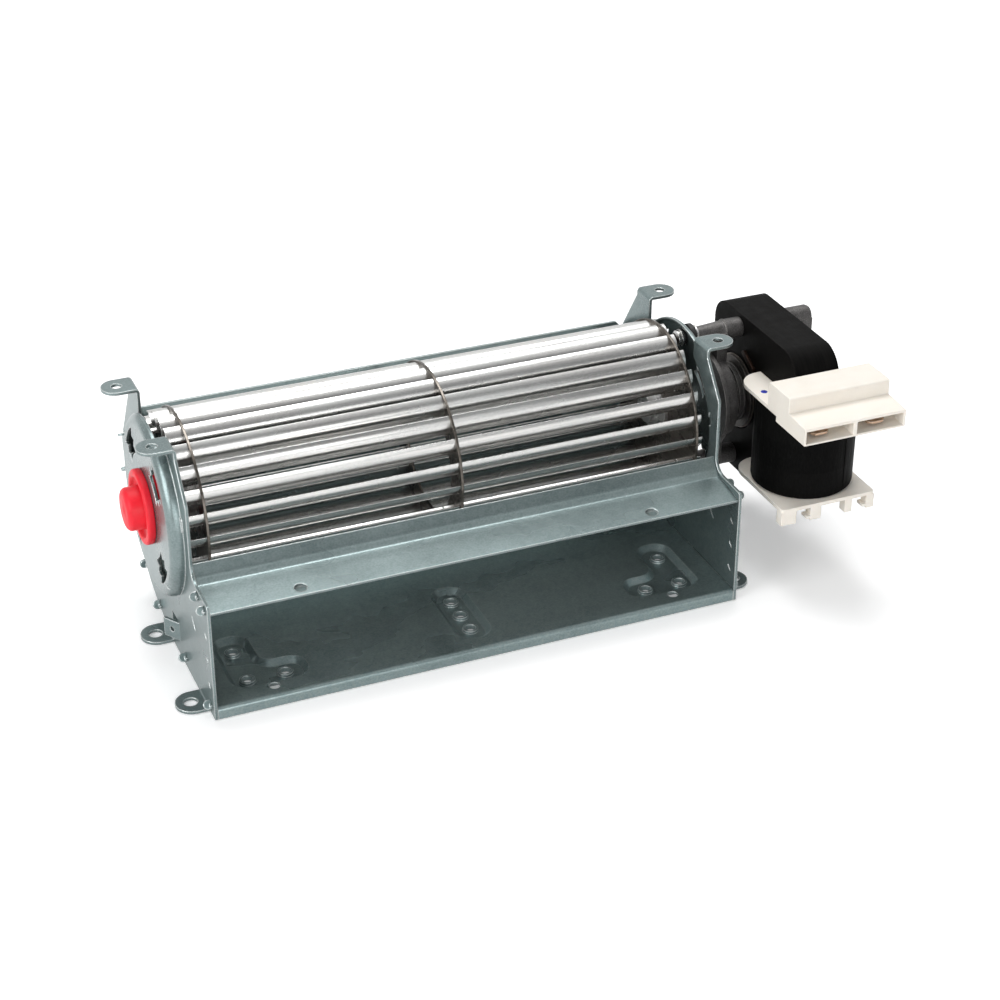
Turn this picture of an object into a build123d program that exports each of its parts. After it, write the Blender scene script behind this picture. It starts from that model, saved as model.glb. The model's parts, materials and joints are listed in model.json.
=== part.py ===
from build123d import *
import math
import os

# A cross flow fan: a long blade wheel between two sheet metal end plates, with a scroll
# sheet behind and below it, a cut-off sheet in front of it, and a shaded pole motor at one end.
# The shaft lies along X with the motor at +X, the outlet faces -Y and the feet stand on Z = 0.
# The origin is midway between the end plates, in the middle of the four foot holes.

# Duct and end plates
DUCT_WIDTH = 180.0          # over the outer faces of the end plates
PLATE_T = 1.0
SHEET_T = 0.8               # scroll and cut-off sheets
WHEEL_R = 30.0
AXIS_Y = 19.25              # shaft behind the middle of the foot holes
FLOOR_Z = 4.0               # top of the duct floor
FLOOR_GAP = 15.7            # wheel to duct floor
SCROLL_GAP = 11.9           # scroll radius over the wheel's
SCROLL_END = 20.5           # degrees above level where the scroll stops
SCROLL_LIP = 2.5            # upright lip along the scroll's end
LIP_BEND = 2.0
LIP_CORNER = 2.5            # cut corners of the lip
OUTLET_DEPTH = 21.25        # wheel to the outlet's front edge
OUTLET_H = 40.7             # front edge of the plates
RIM_CUT = 0.8               # plate's top edge under the wheel's rim
RIM_OUT = 1.6               # how far out on the dish's wall that edge starts
REAR_GAP = 17.6             # plate's rear outline over the wheel
REAR_ROUND = 6.0
FRONT_LEAN_Z = 16.2         # where the upright front edge leans back, over the shaft
FRONT_ROUNDS = (1.0, 5.0, 3.0)
EAR_ROOT_Z = 27.9           # foot of the front ear's wall, over the shaft
SHELF_RISE = 0.4            # plate's shoulder over the outlet, front to back
FRONT_GAP = 3.85            # plate's upright front edge over the wheel
SIDE_GAP = 0.1              # sheets to plates
SLOT_GAP = 0.15             # round a tab in its slot
FIT_GAP = 0.05              # round pieces that stay fixed
RUN_GAP = 0.05              # shaft in a bearing, radial
BEND_OUT = 1.4
BEND_IN = 0.4

# Dish pressed outward in each plate
DISH_DEPTH = 4.25
DISH_EDGE = 0.4             # dish radius under the wheel's
DISH_ROUND = 3.3
DISH_HOLE_R = 9.4
VENT_IN_R = 17.0
VENT_OUT_R = 25.0
VENT_HALF = 17.0            # degrees each side of the vent's middle
VENT_NOTCH = 5.0            # degrees that the star points reach
VENT_POINT = 1.6            # star points from the vent's middle radius
VENT_ANGLES = (45, 135, 225, 315)

# Feet and ears folded out of the plates
FOOT_HOLE_OUT = 4.65        # foot holes outside the plates
FOOT_PITCH_Y = 41.8
FOOT_W = 11.3
FOOT_REACH = 10.5
FOOT_HOLE_R = 2.25
EAR_RISE = 1.3              # ear's top over the wheel's
EAR_FRONT_Y = -0.6
EAR_PITCH_Y = 43.2
EAR_HOLE_OUT = 5.2
EAR_W = 9.6
EAR_REACH = 11.2
EAR_HOLE_R = 1.7
FOLD_WALL = 2.6             # height of wall made with each folded tab

# Marks pressed in the plates, as (y, z, length, degrees), and the lanced earth tab
PLATE_SLOTS = ((-13.8, 24.6, 4.8, 49), (-28.1, 28.4, 2.3, 40), (-28.1, 19.6, 2.3, 40),
               (-28.1, 10.7, 2.3, 40))
PLATE_SLOT_W = 0.8
PIP = (-9.3, 57.2, 5.0, 90)
PIP_W = 1.9
PIP_RISE = 0.4
DISH_PIN = (27.2, -137, 0.8)    # radius, angle and size of a small hole in the dish
EARTH_Y = 5.9               # where the tab is bent
EARTH_Z = 9.5
EARTH_W = 6.5
EARTH_LENGTH = 6.8
EARTH_LEAN = 34
EARTH_HOLE_R = 0.9
EARTH_ROOT = 0.2              # how far its root reaches into the plate
EARTH_OPENING = (8.6, 7.0)

# Twisted tabs that lock the sheets in the plates
TAB_W = 3.0
TAB_OUT = 2.4
TAB_TWIST = 52.0
FLOOR_TABS_Y = (-28.2, 0.0)
SCROLL_TABS = (-73.9, -51.5, -6.8, 11.0)

# Recesses and holes in the duct floor
RECESS_DEPTH = 1.2
RECESS_LEG = 11.5
RECESS_ROUND = 5.0
CORNER_IN = (33.0, 8.0)     # corner recess, inward from the plates
CORNER_BACK = (8.0, 37.0)   # and back from the front edge, as all that follow
CORNER_HOLES = ((13.5, 29.8), (13.5, 13.4), (26.0, 13.4))
PLAIN_HOLE = (20.0, 5.4)
MIDDLE_HOLES = (31.0, 22.4, 13.8)
MIDDLE_PAST = 7.25          # middle recess past its outer holes
FLOOR_HOLE_R = 1.75
COLLAR_T = 0.8
COLLAR_H = 1.0

# Cut-off sheet
CUTOFF_GAP = 2.8            # tip to wheel
CUTOFF_TIP = 187.6          # degrees round the shaft
CUTOFF_LINE = ((0.6, -2.7), (12.4, -1.1), (16.4, 0.9))    # from the outlet's top corner
CUTOFF_BEND = 3.0
CUTOFF_TABS = (0.24, 0.84)  # along the sheet's front flat
CUTOFF_HOLE_IN = 29.65      # from the plates
CUTOFF_HOLE_BACK = 4.0      # behind the outlet's front edge
CUTOFF_HOLE_R = 2.0

# Blade wheel
BLADES = 24
BLADE_T = 0.4
BLADE_PHASE = 6.4           # degrees from level to the first blade's root
BLADE_DEPTH = 5.3
BLADE_CURVE = 4.85
BLADE_RIM = 0.7             # ring left outside the blade tips
BLADE_LEFT = 1.0            # blade ends to the left plate
BLADE_RIGHT = 2.9
BLADE_NICK = (0.5, 1.6, 3.6)    # width, depth, and place left of the centre and right rings
BLADE_SLOT_GAP = 0.05
DISC_T = 0.8
LEFT_LIP = 5.2              # blade ends past the left disc
RIGHT_LIP = 2.5
RING_IN_R = 20.6
SHAFT_R = 2.5
HUB_R = 5.0
HUB_COLLAR_R = 9.0
HUB_COLLAR_T = 1.4
HUB_IN = 4.5                # hub inside its disc
GRUB_R = 1.5
GRUB_HEX_R = 0.75
GRUB_HEX_DEPTH = 1.4
SHAFT_INSET = 0.5           # shaft ends inside their hubs
STUB_HUB_OUT = 1.6          # left hub past the blade ends
SHAFT_HUB_OUT = 6.4         # right hub past its disc's inner face
STUB_PAST = 0.9             # stub shaft past its bush
SHAFT_PAST = 1.0            # motor shaft past the rear bracket

# Bearings and the soft mount in the left plate
BUSH_R = 5.0
BUSH_TURNS = (10, 28, 45)   # degrees from a bush's middle to the edges of its barrel
MOUNT_FLANGE_R = 12.2
MOUNT_FLANGE_T = 2.6
MOUNT_INNER_R = 11.4
MOUNT_INNER_T = 3.0
MOUNT_GROOVE_R = 9.2
MOUNT_NOSE_R = 7.0
MOUNT_LENGTH = 11.3         # nose tip to the inner end
MOUNT_ROUND = 0.6
MOUNT_NOSE_EDGE = 1.2
MOUNT_DIP = 1.0             # depth of the ring groove behind the nose
MOUNT_LEAD = 1.5            # slope that lets the inner end snap in
MOUNT_POCKET = 1.4          # hollow past the bush for the shaft's end
WASHER_T = 0.6
WASHER_W = 1.5
SHAFT_CLEAR = 0.8           # round the shaft where nothing guides it
SEAT_DEPTH = 0.5            # bush's face inside its bracket's hub
THRUST_GAP = 0.4

CLIP_PLACE = 2.8            # from a bush's middle
CLIP_T = 0.5
CLIP_W = 0.75

# Motor
STACK_GAP = 19.75           # dish to the laminations
STACK_T = 16.0
STACK_H = 58.4
STACK_REAR = 17.25          # shaft to the rear face
STACK_BACK_ROUND = 8.0
STACK_FRONT_ROUND = 10.0
CORE_W = 12.4
TONGUE = (2.0, 2.8, 3.0)    # half widths at the dovetail's root and tip, and its height
WINDOW = (-19.3, 14.7)      # coil window's ends, from the shaft's height
BRIDGE_T = 2.3              # iron between the window and the rotor bore
ROTOR_R = 13.1
AIR_GAP = 0.4
CAGE_BARS = 13
CAGE_BAR = (2.4, 1.4)       # radial depth and width of a bar
CAGE_RING_T = 1.0
CAGE_RING_W = 3.6
CAGE_INSET = 1.7            # bar centres under the rotor's rim
SHADE_R = 0.95
SHADE_LEGS = ((-12.05, 13.3), (-5.6, 16.8))
BOBBIN_W = 35.0
BOBBIN_FRONT = 12.5         # flange in front of the core bar
BOBBIN_FLANGE_T = 1.3
BOBBIN_WALL = 1.1
BOBBIN_ROUND = 8.0
BOBBIN_EDGE = 1.2           # round at the flanges' front corners
BOBBIN_GAP = 0.1
BOBBIN_LEGS = ((0.0, 5.6), (11.0, 3.9), (24.0, 2.6), (32.2, 2.8))    # left edge and width
BOBBIN_LEG = (3.4, 2.3, 4.8)    # depth, middle under the flange, height
BOBBIN_TOES = (9.5, 30.7)   # left edges of the hooks under the legs
BOBBIN_TOE = (2.0, 3.5, 1.0)    # width, middle under the flange, height
COIL_R = 16.9
COIL_GAP = 1.35             # coil to the window's rear edge
COIL_CHAMFER = 0.6
POST_R = 3.45
POST_TIP_R = 2.6
POST_PITCH = 48.4
ARM_W = 7.0
ARM_T = 3.8
ARM_STAND = 2.7             # front arms past the bracket's disc face
BRACKET_GAP = 7.25          # dish to the bracket
BRACKET_DISC_R = 17.0
BRACKET_DISC_T = 1.5
BOSS_R = 14.2               # thick root of the front hub
BOSS_T = 6.1
FRONT_HUB_R = 10.5
FRONT_HUB = ((2.9, 0.0), (2.9, 0.8), (2.4, 0.8), (2.4, 0.0), (1.2, 0.0), (1.2, 0.8), (0.7, 0.8), (0.7, 0.2),
             (0.0, 0.2))    # grooves: from its end, in radius
REAR_HUB_R = 8.6
REAR_HUB_EDGE = (1.5, 1.2)  # length and depth of the slope at the hub's start
POST_COLLAR = 0.4           # ring round the root of each post's taper
POST_END = (1.0, 0.5)       # length and depth of the slope at a rear post's end
FRONT_BUSH_IN = 7.15        # bracket's disc face to its bush
REAR_BUSH_OUT = 6.0         # laminations to the rear bush
REAR_LENGTH = 10.5          # rear bracket behind the laminations
SCREW_R = 1.5
SCREW_HEAD_R = 2.6
SCREW_HEAD_T = 1.8
SCREW_CLEAR = 0.15
SCREW_SINK = 0.4            # stack screws' heads under the rear posts' ends
GROMMET_R = 4.2
GROMMET_T = 2.3
GROMMET_LIP_R = 2.9
GROMMET_LIP_T = 1.3
GROMMET_NECK_R = 2.35
GROMMET_EDGE = 0.8
SCREW_EDGE = 0.7            # slope round a screw's head and at its tip
PLATE_SCREW_IN = 4.0        # plate screw inside its post

# Connector on the bobbin
PLUG_W = 37.0
PLUG_HEIGHTS = (9.4, 3.6, -2.4)    # top, step and underside, over the window's end
PLUG_STEP = 13.6            # upper block, front to back
PLUG_DEPTH = 24.6           # whole connector, front to back
PLUG_WALL = 0.7
PLUG_BEVEL = 0.6            # slope of the step's tread
PLUG_TOP_SKIN = 0.3         # more wall over a socket than under it
PLUG_ROUND = 0.8
PLUG_RIB = 1.4
PLUG_CHEEK = (0.9, 6.7)     # walls beside the bobbin's flange: thickness and length
SOCKET_DEPTH = 9.5
BLADE_TERM_W = 6.3
BLADE_TERM_T = 0.8
BLADE_TERM_IN = 2.2         # terminal tip inside the socket's mouth
BLADE_TERM_TAIL = 2.3
BLADE_TERM_TIP = 1.2        # cut corners
BLADE_TERM_HOLE = (3.6, 0.8)    # place behind the tip, and radius
BLADE_TERM_RISE = 0.36      # height in the socket, as a share
PEG_R = 1.2
PEG_X = 14.5                # pegs each side of the coil's middle
PEG_FRONT = 3.0             # behind the bobbin flange's front edge
TERM_OFFSETS = (-11.2, 9.4)

# Places worked out from the sizes above
HALF = DUCT_WIDTH / 2
INNER = HALF - PLATE_T
AXIS_Z = FLOOR_Z + FLOOR_GAP + WHEEL_R
OUTLET_Y = AXIS_Y - WHEEL_R - OUTLET_DEPTH
SCROLL_R = WHEEL_R + SCROLL_GAP
SCROLL_Z = FLOOR_Z + SCROLL_R
EAR_Z = AXIS_Z + WHEEL_R + EAR_RISE
DISH_R = WHEEL_R - DISH_EDGE
DISH_X = HALF + DISH_DEPTH
BUSH_HALF = BUSH_R * math.sin(math.radians(BUSH_TURNS[-1]))
STACK_X = DISH_X + STACK_GAP
STACK_BACK_X = STACK_X + STACK_T
STACK_MID_X = STACK_X + STACK_T / 2
WINDOW_Z = [AXIS_Z + height for height in WINDOW]
WINDOW_BACK_Y = AXIS_Y - ROTOR_R - AIR_GAP - BRIDGE_T
CORE_FRONT_Y = WINDOW_BACK_Y - COIL_GAP - COIL_R - CORE_W / 2
BRACKET_X = DISH_X + BRACKET_GAP
ARM_END_X = BRACKET_X + ARM_STAND + ARM_T
FRONT_BUSH_X = BRACKET_X + FRONT_BUSH_IN
REAR_BUSH_X = STACK_BACK_X + REAR_BUSH_OUT
REAR_END_X = STACK_BACK_X + REAR_LENGTH
PLUG_TOP_Z, PLUG_STEP_Z, PLUG_LOW_Z = [WINDOW_Z[1] + height for height in PLUG_HEIGHTS]
WHEEL_AXIS = Pos(0, AXIS_Y, AXIS_Z)
BLADE_TIP_R = WHEEL_R - BLADE_RIM
BLADE_ROOT_R = BLADE_TIP_R - BLADE_DEPTH
BLADE_ENDS = (-INNER + BLADE_LEFT, INNER - BLADE_RIGHT)
LEFT_DISC_X = BLADE_ENDS[0] + LEFT_LIP
RIGHT_DISC_X = BLADE_ENDS[1] - RIGHT_LIP
CENTRE_RING_X = (LEFT_DISC_X + RIGHT_DISC_X) / 2
POST_HOLES = ((AXIS_Y, AXIS_Z + POST_PITCH / 2), (AXIS_Y, AXIS_Z - POST_PITCH / 2))


def polar(radius, degrees):
    """A point at this radius and angle round the shaft, as (y, z)."""
    angle = math.radians(degrees)
    return (AXIS_Y + radius * math.cos(angle), AXIS_Z + radius * math.sin(angle))


def across(face, x, depth):
    """Raises a face drawn in (y, z) from the plane at x, by depth along X."""
    return extrude(Plane.YZ.offset(x) * face, depth)


def turned(*outline):
    """A piece turned about the X axis from its (x, radius) outline."""
    return revolve(make_face(Polyline(*outline, close=True)), Axis.X)


def rod(x_from, x_to, radius):
    """A round bar on the X axis."""
    return turned((x_from, 0), (x_from, radius), (x_to, radius), (x_to, 0))


def ring(x_from, x_to, outer_r, inner_r):
    """A round ring on the X axis."""
    return turned((x_from, inner_r), (x_from, outer_r), (x_to, outer_r), (x_to, inner_r))


def corner(face, y, z):
    """The corner of a flat face that lies nearest to a point."""
    return face.vertices().sort_by_distance((y, z, 0))[0]


def rounded(face, *corners):
    """Rounds corners of a flat face, each given as (y, z, radius)."""
    for y, z, radius in corners:
        face = fillet(corner(face, y, z), radius)
    return face


# Tabs: the same stations place the tabs on the sheets and their slots in the plates.

def cutoff_line():
    """The upper side of the cut-off sheet, from its front edge to its tip."""
    line = [(OUTLET_Y + y, OUTLET_H + z) for y, z in CUTOFF_LINE]
    return line + [polar(WHEEL_R + CUTOFF_GAP, CUTOFF_TIP)]


def scroll_stations():
    """Middles and slopes of the scroll sheet's tabs, as (y, z, degrees)."""
    middle = SHEET_T / 2
    stations = [(y, FLOOR_Z - middle, 0.0) for y in FLOOR_TABS_Y]
    for degrees in SCROLL_TABS:
        angle = math.radians(degrees)
        reach = SCROLL_R + middle
        stations.append((AXIS_Y + reach * math.cos(angle), SCROLL_Z + reach * math.sin(angle), degrees + 90))
    return stations


def cutoff_stations():
    """Middles and slopes of the cut-off sheet's tabs."""
    front, bend = cutoff_line()[:2]
    slope = math.atan2(bend[1] - front[1], bend[0] - front[0])
    stations = []
    for along in CUTOFF_TABS:
        y = front[0] + along * (bend[0] - front[0]) + math.sin(slope) * SHEET_T / 2
        z = front[1] + along * (bend[1] - front[1]) - math.cos(slope) * SHEET_T / 2
        stations.append((y, z, math.degrees(slope)))
    return stations


def tab_section(station, gap=0.0):
    """The cross section of a tab at a station, in (y, z)."""
    y, z, slope = station
    return Pos(y, z) * Rot(0, 0, slope) * Rectangle(TAB_W + 2 * gap, SHEET_T + 2 * gap)


def tab_head(station):
    """The rounded head of a tab outside the plate, twisted out of line with its slot."""
    y, z, slope = station
    start = HALF + SIDE_GAP
    middle = start + TAB_OUT - TAB_W / 2
    plan = Pos((start + middle) / 2, 0) * Rectangle(middle - start, TAB_W)
    plan = plan + Pos(middle, 0) * Circle(TAB_W / 2)
    plan = plan & Pos(start + TAB_OUT / 2, 0) * Rectangle(TAB_OUT, TAB_W)
    return Pos(0, y, z) * Rot(slope + TAB_TWIST, 0, 0) * extrude(plan, SHEET_T / 2, both=True)


def add_tabs(sheet, stations):
    """Adds the tabs at both ends of a sheet, with their heads twisted outside the plates."""
    neck_x = INNER - 2 * SIDE_GAP
    for station in stations:
        neck = across(tab_section(station), neck_x, HALF + SIDE_GAP + PLATE_T / 2 - neck_x)
        tab = neck + tab_head(station)
        sheet = sheet + tab + mirror(tab, about=Plane.YZ)
    return sheet


# End plates

def folded_tab(width, reach, hole_x, hole_r):
    """A rounded tab folded out at the foot of a wall that rises from the origin."""
    wall = Polyline((0, FOLD_WALL), (0, 0), (reach, 0), (reach, PLATE_T),
                    (PLATE_T, PLATE_T), (PLATE_T, FOLD_WALL), close=True)
    profile = rounded(make_face(wall), (0, 0, BEND_OUT), (PLATE_T, PLATE_T, BEND_IN))
    tab = extrude(Plane.XZ * profile, width / 2, both=True)
    end = reach - width / 2
    plan = Pos(end / 2, 0) * Rectangle(end, width) + Pos(end, 0) * Circle(width / 2)
    tab = tab & extrude(plan, FOLD_WALL)
    return tab - Pos(hole_x, 0, 0) * Cylinder(hole_r, 3 * PLATE_T)


def plate_outline():
    """The flat outline of an end plate, in (y, z)."""
    front_y = AXIS_Y - WHEEL_R - FRONT_GAP
    ear_wall = EAR_Z - FOLD_WALL
    ears = [(EAR_FRONT_Y + side * EAR_W / 2) for side in (-1, 1)]
    ears += [y + EAR_PITCH_Y for y in ears]
    rim_r = WHEEL_R - RIM_CUT
    rear_r = WHEEL_R + REAR_GAP
    rim = [math.degrees(math.acos((y - AXIS_Y) / rim_r)) for y in (ears[1], ears[2])]
    foot_y = FOOT_PITCH_Y / 2 + FOOT_W / 2
    low = -math.degrees(math.acos((foot_y + PLATE_T - AXIS_Y) / rear_r))
    front = Polyline(
        (foot_y, 0), (OUTLET_Y, 0), (OUTLET_Y, OUTLET_H), (front_y, OUTLET_H + SHELF_RISE),
        (front_y, AXIS_Z + FRONT_LEAN_Z), (ears[0], AXIS_Z + EAR_ROOT_Z), (ears[0], ear_wall),
        (ears[1], ear_wall), polar(rim_r, rim[0]))
    top = CenterArc((AXIS_Y, AXIS_Z), rim_r, rim[0], rim[1] - rim[0])
    rear = Polyline(polar(rim_r, rim[1]), (ears[2], ear_wall), (ears[3], ear_wall), polar(rear_r, 0))
    heel = CenterArc((AXIS_Y, AXIS_Z), rear_r, 0, low)
    step = Line(polar(rear_r, low), (foot_y, 0))
    face = make_face([front, top, rear, heel, step])
    lip_round, shelf_round, lean_round = FRONT_ROUNDS
    return rounded(face, (OUTLET_Y, OUTLET_H, lip_round), (front_y, OUTLET_H + SHELF_RISE, shelf_round),
                   (front_y, AXIS_Z + FRONT_LEAN_Z, lean_round), (*polar(rear_r, 0), REAR_ROUND))


def vent_outline():
    """A vent in the dish: a ring sector whose two ends are cut to star points, in (y, z)."""
    middle_r = (VENT_IN_R + VENT_OUT_R) / 2
    steps = ((VENT_OUT_R, 0), (middle_r + VENT_POINT, -VENT_NOTCH), (middle_r, 1),
             (middle_r - VENT_POINT, -VENT_NOTCH), (VENT_IN_R, 0))

    def end(side):
        points = []
        for radius, extra in steps:
            angle = math.radians(side * (VENT_HALF + extra))
            points.append((radius * math.cos(angle), radius * math.sin(angle)))
        return Polyline(*points)

    outer = CenterArc((0, 0), VENT_OUT_R, -VENT_HALF, 2 * VENT_HALF)
    inner = CenterArc((0, 0), VENT_IN_R, -VENT_HALF, 2 * VENT_HALF)
    return make_face([outer, end(1), inner, end(-1)])


def dish():
    """The dish and its rounded wall, about the X axis, with the plate's own flat left out."""
    low_x = HALF
    turn_x = DISH_X - DISH_ROUND
    flat_r = DISH_R - DISH_ROUND
    skin = PLATE_T
    outer = CenterArc((turn_x, flat_r), DISH_ROUND, 0, 90)
    inner = CenterArc((turn_x, flat_r), DISH_ROUND - skin, 0, 90)
    lines = [
        Line((DISH_X, DISH_HOLE_R), (DISH_X, flat_r)),
        outer,
        Polyline((turn_x, DISH_R), (low_x, DISH_R), (low_x - skin, DISH_R), (low_x - skin, DISH_R - skin),
                 (turn_x, DISH_R - skin)),
        inner,
        Polyline((DISH_X - skin, flat_r), (DISH_X - skin, DISH_HOLE_R), (DISH_X, DISH_HOLE_R)),
    ]
    return revolve(make_face(lines), Axis.X)


def slot_shape(y, z, length, degrees, width):
    """A round-ended slot, in (y, z)."""
    return Pos(y, z) * Rot(0, 0, degrees) * SlotOverall(length, width)


def end_plate():
    """The plate at the motor's end, before its holes for the motor."""
    outline = plate_outline()
    flat = outline - Pos(AXIS_Y, AXIS_Z) * Circle(DISH_R - PLATE_T)
    plate = across(flat, INNER, PLATE_T) + WHEEL_AXIS * dish()
    plate = plate & across(outline, INNER, 2 * DISH_DEPTH)
    ears_apart = Rectangle(EAR_PITCH_Y - EAR_W, DISH_R)
    ears_apart = Pos(EAR_FRONT_Y + EAR_PITCH_Y / 2, AXIS_Z + DISH_R) * ears_apart
    plate = plate - across(ears_apart, INNER - PLATE_T, 2 * PLATE_T + RIM_OUT)
    for slot in PLATE_SLOTS:
        plate = plate - across(slot_shape(*slot, PLATE_SLOT_W), INNER - PLATE_T, 3 * PLATE_T)
    pip = slot_shape(*PIP, PIP_W)
    plate = plate + across(pip, HALF, PIP_RISE) - across(pip, INNER, PIP_RISE)
    pin_r, pin_angle, pin_size = DISH_PIN
    plate = plate - across(Pos(*polar(pin_r, pin_angle)) * Circle(pin_size), INNER, 3 * DISH_DEPTH)
    for degrees in VENT_ANGLES:
        vent = across(Pos(AXIS_Y, AXIS_Z) * Rot(0, 0, degrees) * vent_outline(), INNER, 3 * DISH_DEPTH)
        plate = plate - vent
    for station in scroll_stations() + cutoff_stations():
        plate = plate - across(tab_section(station, SLOT_GAP), INNER - PLATE_T, 3 * PLATE_T)
    for side in (-1, 1):
        foot_y = side * FOOT_PITCH_Y / 2
        gap = Pos(HALF, foot_y, 0) * Box(4 * PLATE_T, FOOT_W + 2 * BEND_IN, 2 * FOLD_WALL)
        foot = folded_tab(FOOT_W, FOOT_REACH, PLATE_T + FOOT_HOLE_OUT, FOOT_HOLE_R)
        plate = plate - gap + Pos(INNER, foot_y, 0) * foot
    ear = mirror(folded_tab(EAR_W, EAR_REACH, PLATE_T + EAR_HOLE_OUT, EAR_HOLE_R), about=Plane.XY)
    for ear_y in (EAR_FRONT_Y, EAR_FRONT_Y + EAR_PITCH_Y):
        plate = plate + Pos(INNER, ear_y, EAR_Z) * ear
    return plate


def with_earth_tab(plate):
    """The plate with its earth tab lanced out and bent outward."""
    long, high = EARTH_OPENING
    opening = Pos(EARTH_Y + long / 2, EARTH_Z) * Rectangle(long, high)
    tab = Box(PLATE_T, EARTH_LENGTH + EARTH_ROOT, EARTH_W)
    tab = Pos(0, (EARTH_LENGTH - EARTH_ROOT) / 2, 0) * tab
    tab = tab - Pos(0, EARTH_LENGTH / 2, 0) * Rot(0, 90, 0) * Cylinder(EARTH_HOLE_R, 2 * PLATE_T)
    hinge = Pos(HALF - PLATE_T / 2, EARTH_Y, EARTH_Z) * Rot(0, 0, -EARTH_LEAN)
    return plate - across(opening, INNER - PLATE_T, 3 * PLATE_T) + hinge * tab


# Scroll and cut-off sheets

def floor_recesses():
    """Outlines of the three recesses pressed into the floor, in (x, y)."""
    x_in, x_out = [INNER - x for x in CORNER_IN]
    y_low, y_high = [OUTLET_Y + y for y in CORNER_BACK]
    corner_path = FilletPolyline(
        (x_in, y_low), (x_out, y_low), (x_out, y_high), (x_out - RECESS_LEG, y_high),
        (x_out - RECESS_LEG, y_low + RECESS_LEG), (x_in, y_low + RECESS_LEG),
        radius=RECESS_ROUND, close=True)
    right = make_face(corner_path)
    middle_y = OUTLET_Y + (MIDDLE_HOLES[0] + MIDDLE_HOLES[-1]) / 2
    long = MIDDLE_HOLES[0] - MIDDLE_HOLES[-1] + 2 * MIDDLE_PAST
    middle = Pos(0, middle_y) * Rot(0, 0, 90) * SlotOverall(long, RECESS_LEG)
    return [right, mirror(right, about=Plane.YZ), middle]


def floor_holes():
    """Collared and plain screw holes in the floor, as lists of (x, y)."""
    collared = [(side * (INNER - x), OUTLET_Y + y) for side in (-1, 1) for x, y in CORNER_HOLES]
    collared += [(0.0, OUTLET_Y + y) for y in MIDDLE_HOLES]
    plain = [(side * (INNER - PLAIN_HOLE[0]), OUTLET_Y + PLAIN_HOLE[1]) for side in (-1, 1)]
    return collared, plain


def scroll_sheet():
    """Floor, scroll and turned-down front edge, folded and rolled from one sheet."""
    end = math.radians(SCROLL_END)
    bend_y = AXIS_Y + (SCROLL_R + LIP_BEND) * math.cos(end)
    bend_z = SCROLL_Z + (SCROLL_R + LIP_BEND) * math.sin(end)
    lip = (bend_y - LIP_BEND, bend_z + SCROLL_LIP)
    path = [
        FilletPolyline((OUTLET_Y, 0), (OUTLET_Y, FLOOR_Z), (AXIS_Y, FLOOR_Z), radius=BEND_OUT),
        CenterArc((AXIS_Y, SCROLL_Z), SCROLL_R, -90, 90 + SCROLL_END),
        CenterArc((bend_y, bend_z), LIP_BEND, 180 + SCROLL_END, -SCROLL_END),
        Line((lip[0], bend_z), lip),
    ]
    profile = make_face(offset(Wire(Curve(path).edges()), SHEET_T, side=Side.RIGHT))
    length = 2 * (INNER - SIDE_GAP)
    sheet = across(profile, -length / 2, length)
    cut = LIP_CORNER * math.sqrt(2)
    for side in (-1, 1):
        sheet = sheet - Pos(side * length / 2, *lip) * Rot(0, 45, 0) * Box(cut, 2 * LIP_BEND, cut)
    recess_z = FLOOR_Z - RECESS_DEPTH
    for outline in floor_recesses():
        skin = offset(outline, SHEET_T / 2)
        sheet = sheet + Pos(0, 0, recess_z - SHEET_T) * extrude(skin, RECESS_DEPTH)
        sheet = sheet - Pos(0, 0, recess_z) * extrude(outline, 2 * RECESS_DEPTH)
    collared, plain = floor_holes()
    for x, y in collared:
        sheet = sheet + Pos(x, y, recess_z + COLLAR_H / 2) * Cylinder(FLOOR_HOLE_R + COLLAR_T, COLLAR_H)
    for x, y in collared + plain:
        sheet = sheet - Pos(x, y, FLOOR_Z) * Cylinder(FLOOR_HOLE_R, 2 * FLOOR_Z)
    return add_tabs(sheet, scroll_stations())


def cutoff_sheet():
    """The narrow sheet that closes the outlet's top and splits the air at the wheel."""
    path = FilletPolyline(*cutoff_line(), radius=CUTOFF_BEND)
    profile = make_face(offset(Wire(path.edges()), SHEET_T, side=Side.RIGHT))
    length = 2 * (INNER - SIDE_GAP)
    sheet = across(profile, -length / 2, length)
    for side in (-1, 1):
        place = Pos(side * (INNER - CUTOFF_HOLE_IN), OUTLET_Y + CUTOFF_HOLE_BACK, OUTLET_H)
        sheet = sheet - place * Cylinder(CUTOFF_HOLE_R, 4 * BEND_OUT)
    return add_tabs(sheet, cutoff_stations())


# Blade wheel

def blade_section(gap=0.0):
    """One blade's curved section about the shaft, its tip leaning the way that the wheel turns."""
    along = (BLADE_TIP_R ** 2 - BLADE_ROOT_R ** 2 - 2 * BLADE_CURVE ** 2) / (2 * BLADE_CURVE)
    tilt = math.degrees(math.atan2(BLADE_CURVE, BLADE_ROOT_R))
    tip = math.degrees(math.acos(along / math.hypot(BLADE_ROOT_R, BLADE_CURVE))) - tilt
    middle = (BLADE_ROOT_R, -BLADE_CURVE)
    more = math.degrees(gap / BLADE_CURVE)
    start = 90 + more
    sweep = tip - more - start
    half = BLADE_T / 2 + gap
    outer = CenterArc(middle, BLADE_CURVE + half, start, sweep)
    inner = CenterArc(middle, BLADE_CURVE - half, start, sweep)
    return make_face([outer, Line(outer @ 1, inner @ 1), inner, Line(inner @ 0, outer @ 0)])


def blade_angle(number):
    """Where a blade stands round the shaft."""
    return BLADE_PHASE + number * 360 / BLADES


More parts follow.
